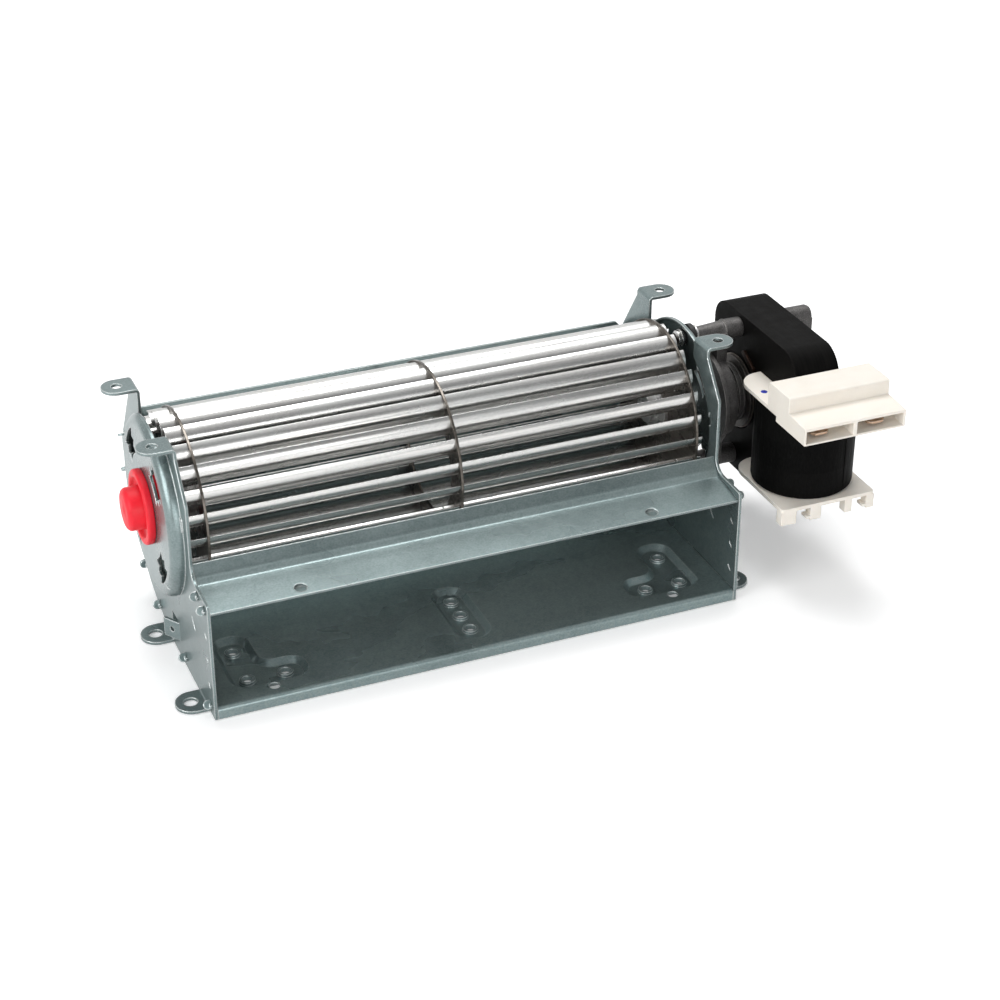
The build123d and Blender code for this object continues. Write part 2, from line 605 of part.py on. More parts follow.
def blade(number):
    """One of the blades, nicked at its root beside the centre and right rings."""
    body = across(blade_section(), BLADE_ENDS[0], BLADE_ENDS[1] - BLADE_ENDS[0])
    wide, deep, place = BLADE_NICK
    for x in (CENTRE_RING_X, RIGHT_DISC_X):
        body = body - Pos(x - place, BLADE_ROOT_R, 0) * Box(wide, 2 * deep, deep)
    return WHEEL_AXIS * Rot(blade_angle(number), 0, 0) * body


def slotted_disc(x, inner_r):
    """A disc at x with a slot for every blade and a round hole."""
    face = Circle(WHEEL_R) - Circle(inner_r)
    slots = [Rot(0, 0, blade_angle(number)) * blade_section(BLADE_SLOT_GAP) for number in range(BLADES)]
    face = face - slots
    return WHEEL_AXIS * across(face, x, DISC_T)


def wheel_hub(disc_x, side, outer_x):
    """A turned hub through an end disc, with its collar against the disc's inner face."""
    face_in = disc_x if side > 0 else disc_x + DISC_T
    back = face_in - side * HUB_IN
    collar = face_in - side * HUB_COLLAR_T
    hub = turned((back, 0), (back, HUB_R), (collar, HUB_R), (collar, HUB_COLLAR_R),
                 (face_in, HUB_COLLAR_R), (face_in, HUB_R), (outer_x, HUB_R), (outer_x, 0))
    return hub - rod(min(back, outer_x) - 1, max(back, outer_x) + 1, SHAFT_R + FIT_GAP / 2)


# Bearings

def bush_profile(x, gap=0.0):
    """Half of a self-aligning bush's barrel outline, from its middle at x towards +X."""
    radius = BUSH_R + gap
    angles = [math.radians(degrees) for degrees in BUSH_TURNS]
    return [(x + radius * math.sin(angle), radius * math.cos(angle)) for angle in angles]


def bush(x):
    """A self-aligning sintered bush with its middle at x."""
    right = bush_profile(0)
    left = [(-along, radius) for along, radius in reversed(right)]
    end = right[-1][0]
    bore = SHAFT_R + RUN_GAP
    return Pos(x, 0, 0) * turned((-end, bore), *left, *right, (end, bore))


def bush_seat(x, side):
    """The hollow that one half of a bush at x lies in, open at the bush's middle."""
    outline = [(side * along, radius) for along, radius in bush_profile(0, FIT_GAP)]
    end = outline[-1][0]
    return Pos(x, 0, 0) * turned((0, 0), (0, BUSH_R + FIT_GAP), *outline, (end, 0))


def bearing_mount(bush_x, mouth_x):
    """The soft mount that snaps into the left plate's dish and holds the bush."""
    nose_x = mouth_x - MOUNT_LENGTH
    groove_out = -DISH_X - FIT_GAP
    groove_in = -DISH_X + PLATE_T + FIT_GAP
    flange_x = groove_out - MOUNT_FLANGE_T
    dip_x = groove_out - MOUNT_DIP
    body = turned(
        (nose_x, 0), (nose_x, MOUNT_NOSE_R - MOUNT_NOSE_EDGE), (nose_x + MOUNT_NOSE_EDGE, MOUNT_NOSE_R),
        (dip_x, MOUNT_NOSE_R), (dip_x, MOUNT_GROOVE_R), (flange_x, MOUNT_GROOVE_R + MOUNT_ROUND),
        (flange_x, MOUNT_FLANGE_R - MOUNT_ROUND), (flange_x + MOUNT_ROUND, MOUNT_FLANGE_R),
        (groove_out, MOUNT_FLANGE_R), (groove_out, MOUNT_GROOVE_R), (groove_in, MOUNT_GROOVE_R),
        (groove_in, MOUNT_INNER_R), (mouth_x, MOUNT_INNER_R - MOUNT_LEAD), (mouth_x, 0))
    mouth = rod(bush_x, mouth_x + 1, BUSH_R - MOUNT_ROUND)
    pocket = rod(bush_x - BUSH_HALF - MOUNT_POCKET, bush_x, SHAFT_R + SHAFT_CLEAR)
    return body - bush_seat(bush_x, 1) - bush_seat(bush_x, -1) - mouth - pocket


def thrust_washer(x):
    """A nylon washer on the shaft, from x towards +X."""
    return ring(x, x + WASHER_T, SHAFT_R + WASHER_W, SHAFT_R + FIT_GAP)


# Motor

def dovetail(z, up, gap=0.0):
    """The tongue at one end of the core bar, in (y, z)."""
    middle = CORE_FRONT_Y + CORE_W / 2
    root = TONGUE[0] + gap
    tip = TONGUE[1] + gap
    rise = up * (TONGUE[2] + gap)
    start = z - up * gap
    return make_face(Polyline((middle - root, start), (middle + root, start), (middle + tip, z + rise),
                              (middle - tip, z + rise), close=True))


def stack_outline():
    """The laminations' outline with the coil window, rotor bore and holes, in (y, z)."""
    low = AXIS_Z - STACK_H / 2
    high = AXIS_Z + STACK_H / 2
    back = AXIS_Y + STACK_REAR
    face = make_face(Polyline(
        (CORE_FRONT_Y, low), (back, low), (back, high), (CORE_FRONT_Y, high), (CORE_FRONT_Y, WINDOW_Z[1]),
        (WINDOW_BACK_Y, WINDOW_Z[1]), (WINDOW_BACK_Y, WINDOW_Z[0]), (CORE_FRONT_Y, WINDOW_Z[0]),
        close=True))
    front_low = min(STACK_FRONT_ROUND, WINDOW_Z[0] - low - 1)
    face = rounded(face, (back, low, STACK_BACK_ROUND), (back, high, STACK_BACK_ROUND),
                   (CORE_FRONT_Y, high, STACK_FRONT_ROUND), (CORE_FRONT_Y, low, front_low))
    face = face - Pos(AXIS_Y, AXIS_Z) * Circle(ROTOR_R + AIR_GAP)
    for y, z in POST_HOLES:
        face = face - Pos(y, z) * Circle(SCREW_R + SCREW_CLEAR)
    for y, z in shade_places():
        face = face - Pos(y, z) * Circle(SHADE_R + FIT_GAP)
    face = face - dovetail(WINDOW_Z[1], 1, FIT_GAP)
    return face - dovetail(WINDOW_Z[0], -1, FIT_GAP)


def shade_places():
    """Where the shading rings pass through the laminations: two legs at each pole."""
    upper = [(AXIS_Y + y, AXIS_Z + z) for y, z in SHADE_LEGS]
    lower = [(AXIS_Y - y, AXIS_Z - z) for y, z in SHADE_LEGS]
    return upper + lower


def shading_ring(first, second):
    """A closed copper ring through two holes of the laminations."""
    legs = None
    for y, z in (first, second):
        leg = Pos(0, y, z) * rod(STACK_X - SHADE_R, STACK_BACK_X + SHADE_R, SHADE_R)
        legs = leg if legs is None else legs + leg
    apart = math.dist(first, second)
    slope = math.degrees(math.atan2(second[1] - first[1], second[0] - first[0]))
    middle = ((first[0] + second[0]) / 2, (first[1] + second[1]) / 2)
    bar = Pos(*middle) * Rot(0, 0, slope) * SlotOverall(apart + 2 * SHADE_R, 2 * SHADE_R)
    for x in (STACK_X - FIT_GAP - SHADE_R, STACK_BACK_X + FIT_GAP):
        legs = legs + across(bar, x, SHADE_R)
    return legs


def core_bar():
    """The laminated bar through the coil, with a dovetail at each end."""
    low, high = WINDOW_Z
    middle = CORE_FRONT_Y + CORE_W / 2
    face = Pos(middle, (low + high) / 2) * Rectangle(CORE_W, high - low)
    face = face + dovetail(high, 1) + dovetail(low, -1)
    return across(face, STACK_X, STACK_T)


def bobbin_plan(grow=0.0):
    """The bobbin's square barrel, seen from above."""
    hole_x = STACK_T + 2 * (BOBBIN_GAP + grow)
    hole_y = CORE_W + 2 * (BOBBIN_GAP + grow)
    return Pos(STACK_MID_X, CORE_FRONT_Y + CORE_W / 2) * Rectangle(hole_x, hole_y)


def bobbin_flange():
    """A bobbin flange seen from above, with its two rear corners rounded."""
    front = CORE_FRONT_Y - BOBBIN_FRONT
    back = WINDOW_BACK_Y - 5 * BOBBIN_GAP
    face = Pos(STACK_MID_X, (front + back) / 2) * Rectangle(BOBBIN_W, back - front)
    half = BOBBIN_W / 2
    return rounded(face, (STACK_MID_X - half, back, BOBBIN_ROUND), (STACK_MID_X + half, back, BOBBIN_ROUND),
                   (STACK_MID_X - half, front, BOBBIN_EDGE), (STACK_MID_X + half, front, BOBBIN_EDGE))


def bobbin():
    """The moulded bobbin: a square barrel, two flanges and four hooked legs at the front."""
    low = WINDOW_Z[0] + BOBBIN_GAP
    high = WINDOW_Z[1] - BOBBIN_GAP
    flange = bobbin_flange()
    body = Pos(0, 0, low) * extrude(bobbin_plan(BOBBIN_WALL), high - low)
    for z in (low, high - BOBBIN_FLANGE_T):
        body = body + Pos(0, 0, z) * extrude(flange, BOBBIN_FLANGE_T)
    left = STACK_MID_X - BOBBIN_W / 2
    leg_depth, leg_drop, leg_h = BOBBIN_LEG
    toe_w, toe_drop, toe_h = BOBBIN_TOE
    leg_y = CORE_FRONT_Y - BOBBIN_FRONT + leg_depth / 2
    for along, width in BOBBIN_LEGS:
        body = body + Pos(left + along + width / 2, leg_y, low - leg_drop) * Box(width, leg_depth, leg_h)
    for along in BOBBIN_TOES:
        body = body + Pos(left + along + toe_w / 2, leg_y, low - toe_drop) * Box(toe_w, leg_depth, toe_h)
    body = body - Pos(0, 0, low - 1) * extrude(bobbin_plan(), high - low + 2)
    for x, y in peg_places():
        body = body - Pos(x, y, high) * Cylinder(PEG_R + FIT_GAP, 4 * BOBBIN_FLANGE_T)
    return body


def coil():
    """The taped winding: round outside, square round the bobbin inside."""
    low = WINDOW_Z[0] + BOBBIN_GAP + BOBBIN_FLANGE_T + BOBBIN_GAP
    high = WINDOW_Z[1] - BOBBIN_GAP - BOBBIN_FLANGE_T - BOBBIN_GAP
    middle = Pos(STACK_MID_X, CORE_FRONT_Y + CORE_W / 2, (low + high) / 2)
    body = middle * Cylinder(COIL_R, high - low)
    body = chamfer(body.edges().filter_by(GeomType.CIRCLE), COIL_CHAMFER)
    return body - Pos(0, 0, low - 1) * extrude(bobbin_plan(BOBBIN_WALL + BOBBIN_GAP), high - low + 2)


def cage_bars(gap=0.0):
    """Sections of the cage's bars about the shaft."""
    deep, wide = CAGE_BAR
    section = Pos(ROTOR_R - CAGE_INSET, 0) * Rectangle(deep + 2 * gap, wide + 2 * gap)
    return [Rot(0, 0, number * 360 / CAGE_BARS) * section for number in range(CAGE_BARS)]


def rotor_core():
    """The rotor's laminations, with a slot for each bar of the cage."""
    face = Circle(ROTOR_R) - Circle(SHAFT_R + FIT_GAP / 2)
    for bar in cage_bars(FIT_GAP):
        face = face - bar
    return WHEEL_AXIS * across(face, STACK_X, STACK_T)


def rotor_cage():
    """The cage cast through the rotor: bars between two end rings."""
    outer_r = ROTOR_R - CAGE_INSET / 4
    inner_r = outer_r - CAGE_RING_W
    cage = ring(STACK_X - CAGE_RING_T, STACK_X - FIT_GAP, outer_r, inner_r)
    cage = cage + ring(STACK_BACK_X + FIT_GAP, STACK_BACK_X + CAGE_RING_T, outer_r, inner_r)
    for bar in cage_bars():
        cage = cage + across(bar, STACK_X - CAGE_RING_T / 2, STACK_T + CAGE_RING_T)
    return WHEEL_AXIS * cage


def bearing_seat(x, away):
    """What a bracket's hub is bored out by, to take a bush at x from the side away."""
    seat = bush_seat(x, -away)
    near = x + away * (BUSH_HALF + SEAT_DEPTH)
    mouth = rod(min(x, near + away), max(x, near + away), BUSH_R + FIT_GAP)
    through = rod(x - 3 * BUSH_R, x + 3 * BUSH_R, SHAFT_R + SHAFT_CLEAR)
    return seat + mouth + through


def bearing_clip(x, away):
    """The spring ring that keeps a bush in its hub."""
    near = x + away * CLIP_PLACE
    far = near + away * CLIP_T
    return ring(min(near, far), max(near, far), BUSH_R, BUSH_R - CLIP_W)


def arms(x, thick):
    """Two arms from the shaft out to the posts, in one flat bar."""
    bar = Pos(AXIS_Y, AXIS_Z) * Rectangle(ARM_W, POST_PITCH)
    return across(bar, x, thick)


def front_bracket():
    """The zinc casting between the end plate and the laminations."""
    hub_end = FRONT_BUSH_X + BUSH_HALF + SEAT_DEPTH
    body = arms(ARM_END_X - ARM_T, ARM_T)
    disc_x = BRACKET_X + BRACKET_DISC_T
    boss_x = BRACKET_X + BOSS_T
    steps = [(hub_end - back, FRONT_HUB_R - cut) for back, cut in FRONT_HUB]
    hub = turned((BRACKET_X, 0), (BRACKET_X, BRACKET_DISC_R), (disc_x, BRACKET_DISC_R), (disc_x, BOSS_R),
                 (boss_x, BOSS_R), (boss_x, FRONT_HUB_R), *steps, (hub_end, 0))
    body = body + WHEEL_AXIS * hub
    tip_x = post_tip_x()
    for y, z in POST_HOLES:
        collar_x = ARM_END_X - POST_COLLAR
        post = turned((tip_x, 0), (tip_x, POST_TIP_R), (collar_x, POST_R - POST_COLLAR / 2),
                      (collar_x, POST_R + POST_COLLAR / 2), (ARM_END_X, POST_R + POST_COLLAR / 2),
                      (ARM_END_X, POST_R), (STACK_X, POST_R), (STACK_X, 0))
        bore = rod(tip_x - 1, STACK_X + 1, SCREW_R + FIT_GAP)
        body = body + Pos(0, y, z) * post
        body = body - Pos(0, y, z) * bore
    return body - WHEEL_AXIS * bearing_seat(FRONT_BUSH_X, 1)


def rear_bracket():
    """The zinc casting behind the laminations."""
    end = REAR_END_X
    hub_start = REAR_BUSH_X - BUSH_HALF - SEAT_DEPTH
    body = arms(end - ARM_T, ARM_T)
    slope, cut = REAR_HUB_EDGE
    hub = turned((hub_start, 0), (hub_start, REAR_HUB_R - cut), (hub_start + slope, REAR_HUB_R),
                 (end, REAR_HUB_R), (end, 0))
    body = body + WHEEL_AXIS * hub
    slope, cut = POST_END
    for y, z in POST_HOLES:
        post = turned((STACK_BACK_X, 0), (STACK_BACK_X, POST_R), (end - slope, POST_R), (end, POST_R - cut),
                      (end, 0))
        body = body + Pos(0, y, z) * post
        body = body - Pos(0, y, z) * rod(STACK_BACK_X - 1, end + 1, SCREW_R + SCREW_CLEAR)
        sink_x = end - SCREW_SINK - SCREW_HEAD_T - FIT_GAP
        body = body - Pos(0, y, z) * rod(sink_x, end + 1, SCREW_HEAD_R + SCREW_CLEAR)
    return body - WHEEL_AXIS * bearing_seat(REAR_BUSH_X, -1)


def post_tip_x():
    """Where the front posts end, past the grommets and their washers."""
    return DISH_X + GROMMET_T + WASHER_T + 2 * FIT_GAP


def grommet():
    """A rubber grommet in the motor's end plate: flange, neck and a lip that snaps through."""
    out = DISH_X + FIT_GAP
    end = out + GROMMET_T
    inside = DISH_X - PLATE_T - FIT_GAP
    lip = inside - GROMMET_LIP_T
    bore = SCREW_R + FIT_GAP
    return turned((end, bore), (end, GROMMET_R - GROMMET_EDGE), (end - GROMMET_EDGE, GROMMET_R),
                  (out, GROMMET_R), (out, GROMMET_NECK_R), (inside, GROMMET_NECK_R),
                  (inside - GROMMET_EDGE, GROMMET_LIP_R), (lip, GROMMET_LIP_R), (lip, bore))


def screw(x_head, x_tip, side):
    """A pan head screw on the X axis; side is +1 where it points to +X."""
    head_in = x_head + side * SCREW_HEAD_T
    return turned((x_head, 0), (x_head, SCREW_HEAD_R - SCREW_EDGE),
                  (x_head + side * SCREW_EDGE, SCREW_HEAD_R), (head_in, SCREW_HEAD_R), (head_in, SCREW_R),
                  (x_tip - side * SCREW_EDGE, SCREW_R), (x_tip, SCREW_R - SCREW_EDGE), (x_tip, 0))


def at_posts(piece):
    """Two copies of a piece, one at each post."""
    return Compound([Pos(0, y, z) * piece for y, z in POST_HOLES])


# Connector

def peg_places():
    """Where the connector's pegs stand in the bobbin's upper flange, in (x, y)."""
    y = CORE_FRONT_Y - BOBBIN_FRONT + PEG_FRONT
    return [(STACK_MID_X + side * PEG_X, y) for side in (-1, 1)]


def socket_size():
    """Width and height of one socket."""
    wide = (PLUG_W - 2 * PLUG_WALL - PLUG_RIB) / 2
    return wide, PLUG_STEP_Z - PLUG_LOW_Z - 2 * PLUG_WALL - PLUG_TOP_SKIN


def connector_housing():
    """The moulded connector: a stepped block with two sockets, pegged to the bobbin."""
    back = CORE_FRONT_Y - 2 * BOBBIN_GAP
    front = back - PLUG_DEPTH
    step = back - PLUG_STEP
    lip = CORE_FRONT_Y - BOBBIN_FRONT - 2 * BOBBIN_GAP
    profile = make_face(Polyline(
        (back, WINDOW_Z[1]), (back, PLUG_TOP_Z), (step, PLUG_TOP_Z), (step, PLUG_STEP_Z + PLUG_BEVEL),
        (front, PLUG_STEP_Z), (front, PLUG_LOW_Z), (lip, PLUG_LOW_Z), (lip, WINDOW_Z[1]), close=True))
    left = STACK_MID_X - PLUG_W / 2
    body = across(profile, left, PLUG_W)
    body = fillet(body.edges().filter_by(Axis.X).sort_by(Axis.Z)[-2:], PLUG_ROUND)
    wide, high = socket_size()
    middle_z = PLUG_LOW_Z + PLUG_WALL + high / 2
    for side in (-1, 1):
        x = STACK_MID_X + side * (wide + PLUG_RIB) / 2
        body = body - Pos(x, front + SOCKET_DEPTH / 2 - 1, middle_z) * Box(wide, SOCKET_DEPTH + 2, high)
    for x in terminal_places():
        slot = Box(BLADE_TERM_W + 2 * FIT_GAP, SOCKET_DEPTH, BLADE_TERM_T + 2 * FIT_GAP)
        body = body - Pos(x, front + SOCKET_DEPTH / 2 + BLADE_TERM_TAIL + FIT_GAP, terminal_z()) * slot
    for x, y in peg_places():
        body = body + Pos(x, y, WINDOW_Z[1] - BOBBIN_FLANGE_T / 2) * Cylinder(PEG_R, BOBBIN_FLANGE_T)
    cheek_t, cheek_long = PLUG_CHEEK
    cheek_h = PLUG_STEP_Z - PLUG_LOW_Z - PLUG_BEVEL
    for side in (-1, 1):
        x = STACK_MID_X + side * (PLUG_W - cheek_t) / 2
        cheek = Box(cheek_t, cheek_long, cheek_h)
        body = body + Pos(x, lip + cheek_long / 2, PLUG_LOW_Z + cheek_h / 2) * cheek
    return body


def terminal_places():
    """Middles of the two terminals, along X."""
    return [STACK_MID_X + x for x in TERM_OFFSETS]


def terminal_z():
    """Height of the terminals' middle plane."""
    return PLUG_LOW_Z + PLUG_WALL + BLADE_TERM_RISE * socket_size()[1]


def terminal(x):
    """A flat blade terminal with a chamfered tip, a round dimple hole and a tail in the housing."""
    front = CORE_FRONT_Y - 2 * BOBBIN_GAP - PLUG_DEPTH + BLADE_TERM_IN
    length = SOCKET_DEPTH - BLADE_TERM_IN + BLADE_TERM_TAIL
    half = BLADE_TERM_W / 2
    cut = BLADE_TERM_TIP
    hole_y, hole_r = BLADE_TERM_HOLE
    face = make_face(Polyline(
        (-half, cut), (cut - half, 0), (half - cut, 0), (half, cut), (half, length), (-half, length),
        close=True))
    face = face - Pos(0, hole_y) * Circle(hole_r)
    return Pos(x, front, terminal_z() - BLADE_TERM_T / 2) * extrude(face, BLADE_TERM_T)


# All the pieces, by name

right_plate = end_plate()
left_plate = mirror(with_earth_tab(right_plate), about=Plane.YZ)
grommet_hole = rod(DISH_X - DISH_DEPTH, DISH_X + DISH_DEPTH, GROMMET_NECK_R + FIT_GAP)
for y, z in POST_HOLES:
    right_plate = right_plate - Pos(0, y, z) * grommet_hole

mount_mouth_x = -INNER - BEND_OUT
stub_hub_end = LEFT_DISC_X - LEFT_LIP - STUB_HUB_OUT
stub_bush_x = stub_hub_end - WASHER_T - THRUST_GAP - BUSH_HALF
stub_end = stub_bush_x - BUSH_HALF - STUB_PAST
stub_start = LEFT_DISC_X + DISC_T + HUB_IN - SHAFT_INSET
shaft_hub_end = RIGHT_DISC_X + SHAFT_HUB_OUT
shaft_start = RIGHT_DISC_X - HUB_IN + SHAFT_INSET
shaft_end = REAR_END_X + SHAFT_PAST
front_washer_x = FRONT_BUSH_X + BUSH_HALF + THRUST_GAP
rear_washer_x = REAR_BUSH_X - BUSH_HALF - THRUST_GAP - WASHER_T

shaft_hub = wheel_hub(RIGHT_DISC_X, 1, shaft_hub_end)
grub_x = (RIGHT_DISC_X + 2 * DISC_T + shaft_hub_end) / 2
shaft_hub = shaft_hub - Pos(grub_x, 0, HUB_R) * Cylinder(GRUB_R + FIT_GAP, 2 * HUB_R - 2 * SHAFT_R)
grub = Pos(grub_x, 0, (HUB_R + SHAFT_R + FIT_GAP) / 2) * Cylinder(GRUB_R, HUB_R - SHAFT_R - FIT_GAP)
grub = grub - Pos(grub_x, 0, HUB_R) * extrude(RegularPolygon(GRUB_HEX_R, 6), GRUB_HEX_DEPTH, both=True)

washer_x = DISH_X + GROMMET_T + 1.5 * FIT_GAP
lip_x = DISH_X - PLATE_T - GROMMET_LIP_T - 1.5 * FIT_GAP
head_x = lip_x - WASHER_T - SCREW_HEAD_T - FIT_GAP
plate_screw = screw(head_x, post_tip_x() + PLATE_SCREW_IN, 1)
stack_screw = screw(REAR_END_X - SCREW_SINK, ARM_END_X, -1)
post_washers = [ring(washer_x, washer_x + WASHER_T, GROMMET_R - GROMMET_EDGE, SCREW_R + FIT_GAP),
                ring(lip_x - WASHER_T, lip_x, GROMMET_LIP_R, SCREW_R + FIT_GAP)]

parts = {
    "left_end_plate": left_plate,
    "right_end_plate": right_plate,
    "scroll_sheet": scroll_sheet(),
    "cutoff_sheet": cutoff_sheet(),
    "bearing_mount": WHEEL_AXIS * bearing_mount(stub_bush_x, mount_mouth_x),
    "left_bush": WHEEL_AXIS * bush(stub_bush_x),
    "front_bracket": front_bracket(),
    "rear_bracket": rear_bracket(),
    "front_bush": WHEEL_AXIS * bush(FRONT_BUSH_X),
    "rear_bush": WHEEL_AXIS * bush(REAR_BUSH_X),
    "bush_clips": WHEEL_AXIS * Compound([bearing_clip(FRONT_BUSH_X, 1), bearing_clip(REAR_BUSH_X, -1)]),
    "stator_stack": across(stack_outline(), STACK_X, STACK_T),
    "core_bar": core_bar(),
    "bobbin": bobbin(),
    "coil": coil(),
    "upper_shading_ring": shading_ring(*shade_places()[:2]),
    "lower_shading_ring": shading_ring(*shade_places()[2:]),
    "grommets": at_posts(grommet()),
    "post_washers": Compound([Pos(0, y, z) * washer for y, z in POST_HOLES for washer in post_washers]),
    "plate_screws": at_posts(plate_screw),
    "stack_screws": at_posts(stack_screw),
    "connector_housing": connector_housing(),
    "left_disc": slotted_disc(LEFT_DISC_X, HUB_R + FIT_GAP),
    "centre_ring": slotted_disc(CENTRE_RING_X, RING_IN_R),
    "right_disc": slotted_disc(RIGHT_DISC_X, HUB_R + FIT_GAP),
    "stub_hub": WHEEL_AXIS * wheel_hub(LEFT_DISC_X, -1, stub_hub_end),
    "stub_shaft": WHEEL_AXIS * rod(stub_end, stub_start, SHAFT_R),
    "stub_washer": WHEEL_AXIS * thrust_washer(stub_hub_end - WASHER_T),
    "shaft_hub": WHEEL_AXIS * shaft_hub,
    "hub_grub_screw": WHEEL_AXIS * grub,
    "motor_shaft": WHEEL_AXIS * rod(shaft_start, shaft_end, SHAFT_R),
    "rotor_core": rotor_core(),
    "rotor_cage": rotor_cage(),
    "rotor_washers": WHEEL_AXIS * Compound([thrust_washer(front_washer_x), thrust_washer(rear_washer_x)]),
}
for side, x in zip(("left", "right"), terminal_places()):
    parts[f"{side}_terminal"] = terminal(x)
for number in range(BLADES):
    parts[f"blade_{number + 1:02d}"] = blade(number)

os.makedirs("parts", exist_ok=True)
for name, shape in parts.items():
    export_step(shape, f"parts/{name}.step")
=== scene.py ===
import bmesh
import bpy
import json
import math
from mathutils import Matrix, Vector


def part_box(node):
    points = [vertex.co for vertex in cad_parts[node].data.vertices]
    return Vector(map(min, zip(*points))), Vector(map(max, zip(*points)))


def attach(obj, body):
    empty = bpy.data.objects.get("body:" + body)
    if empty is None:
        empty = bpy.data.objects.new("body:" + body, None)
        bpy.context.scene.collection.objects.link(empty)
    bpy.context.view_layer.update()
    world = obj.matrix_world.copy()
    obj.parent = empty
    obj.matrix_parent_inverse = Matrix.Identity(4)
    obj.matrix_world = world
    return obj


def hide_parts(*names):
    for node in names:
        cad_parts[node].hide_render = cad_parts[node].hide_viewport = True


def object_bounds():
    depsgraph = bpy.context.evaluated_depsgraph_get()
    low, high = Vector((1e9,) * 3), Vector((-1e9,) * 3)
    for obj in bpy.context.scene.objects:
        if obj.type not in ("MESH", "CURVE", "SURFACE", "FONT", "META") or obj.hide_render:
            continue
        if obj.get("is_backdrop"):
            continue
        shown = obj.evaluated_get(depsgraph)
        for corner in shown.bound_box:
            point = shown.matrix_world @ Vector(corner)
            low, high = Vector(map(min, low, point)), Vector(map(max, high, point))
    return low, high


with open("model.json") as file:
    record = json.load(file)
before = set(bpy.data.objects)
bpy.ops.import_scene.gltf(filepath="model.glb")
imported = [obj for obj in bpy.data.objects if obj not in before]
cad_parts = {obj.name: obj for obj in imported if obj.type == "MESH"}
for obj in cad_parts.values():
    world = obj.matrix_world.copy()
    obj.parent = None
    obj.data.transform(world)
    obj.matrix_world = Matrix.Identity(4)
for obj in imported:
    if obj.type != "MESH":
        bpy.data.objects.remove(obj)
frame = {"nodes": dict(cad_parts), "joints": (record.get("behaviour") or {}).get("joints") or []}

# The whole fan as it comes from the CAD, from the two end plates to the motor.
# Its box is kept, to be set beside the finished model's box at the end.
cad_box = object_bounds()
nodes = frame["nodes"]
shaft = Vector(frame["joints"][0]["pos_m"])

# Studio: a camera in front of the outlet, to the left and above, in a white room whose
# camera side is dark where metal mirrors it. Three soft lamps light the fan, and a white
# floor, which glows less close to the fan, keeps its shadow.
CAMERA_DOWN, CAMERA_TURN = math.radians(29.83), math.radians(-22.61)
camera_data = bpy.data.cameras.new("camera")
camera_data.lens = 79.27
camera_data.sensor_width = 36.0
camera_data.clip_start = 0.01
camera = bpy.data.objects.new("camera", camera_data)
camera.location = (-0.2218, -0.5758, 0.3949)
camera.rotation_euler = (math.radians(90) - CAMERA_DOWN, 0.0, CAMERA_TURN)
bpy.context.scene.collection.objects.link(camera)
bpy.context.scene.camera = camera
bpy.context.scene.view_settings.view_transform = "Standard"


def add_node(tree, kind, **values):
    """A shader node with its properties and plain socket values set."""
    node = tree.nodes.new(kind)
    for name, value in values.items():
        label = name.replace("_", " ")
        if label in node.inputs:
            node.inputs[label].default_value = value
        else:
            setattr(node, name, value)
    return node


def seen_rays(tree, mirrored):
    """1 where the camera sees a thing straight or through glass, mirrored where metal shows it."""
    path = tree.nodes.new("ShaderNodeLightPath")
    clear = add_node(tree, "ShaderNodeMath", operation="MAXIMUM")
    glossy = add_node(tree, "ShaderNodeMath", operation="MULTIPLY")
    any_way = add_node(tree, "ShaderNodeMath", operation="MAXIMUM")
    tree.links.new(path.outputs["Is Camera Ray"], clear.inputs[0])
    tree.links.new(path.outputs["Is Transmission Ray"], clear.inputs[1])
    tree.links.new(path.outputs["Is Glossy Ray"], glossy.inputs[0])
    tree.links.new(mirrored, glossy.inputs[1])
    tree.links.new(clear.outputs[0], any_way.inputs[0])
    tree.links.new(glossy.outputs[0], any_way.inputs[1])
    return any_way.outputs[0]


def graded(tree, value, **ends):
    """A number that goes gently from one end to the other between two limits."""
    node = add_node(tree, "ShaderNodeMapRange", interpolation_type="SMOOTHSTEP", **ends)
    tree.links.new(value, node.inputs["Value"])
    return node.outputs[0]


room = bpy.data.worlds.new("white_room")
room.use_nodes = True
bpy.context.scene.world = room
room_tree = room.node_tree
room_tree.nodes.clear()
room_out = room_tree.nodes.new("ShaderNodeOutputWorld")
room_light = add_node(room_tree, "ShaderNodeBackground",
                      Color=(0.96, 0.98, 1.0, 1.0), Strength=0.25)
room_seen = add_node(room_tree, "ShaderNodeBackground",
                     Color=(1.0, 1.0, 1.0, 1.0), Strength=1.0)
room_mix = room_tree.nodes.new("ShaderNodeMixShader")
room_place = room_tree.nodes.new("ShaderNodeTexCoord")
room_side = room_tree.nodes.new("ShaderNodeSeparateXYZ")
room_tree.links.new(room_place.outputs["Generated"], room_side.inputs[0])
room_fade = graded(room_tree, room_side.outputs["Y"],
                   From_Min=-0.8, From_Max=-0.1, To_Min=0.08, To_Max=1.0)
room_tree.links.new(seen_rays(room_tree, room_fade), room_mix.inputs[0])
room_tree.links.new(room_light.outputs[0], room_mix.inputs[1])
room_tree.links.new(room_seen.outputs[0], room_mix.inputs[2])
room_tree.links.new(room_mix.outputs[0], room_out.inputs["Surface"])

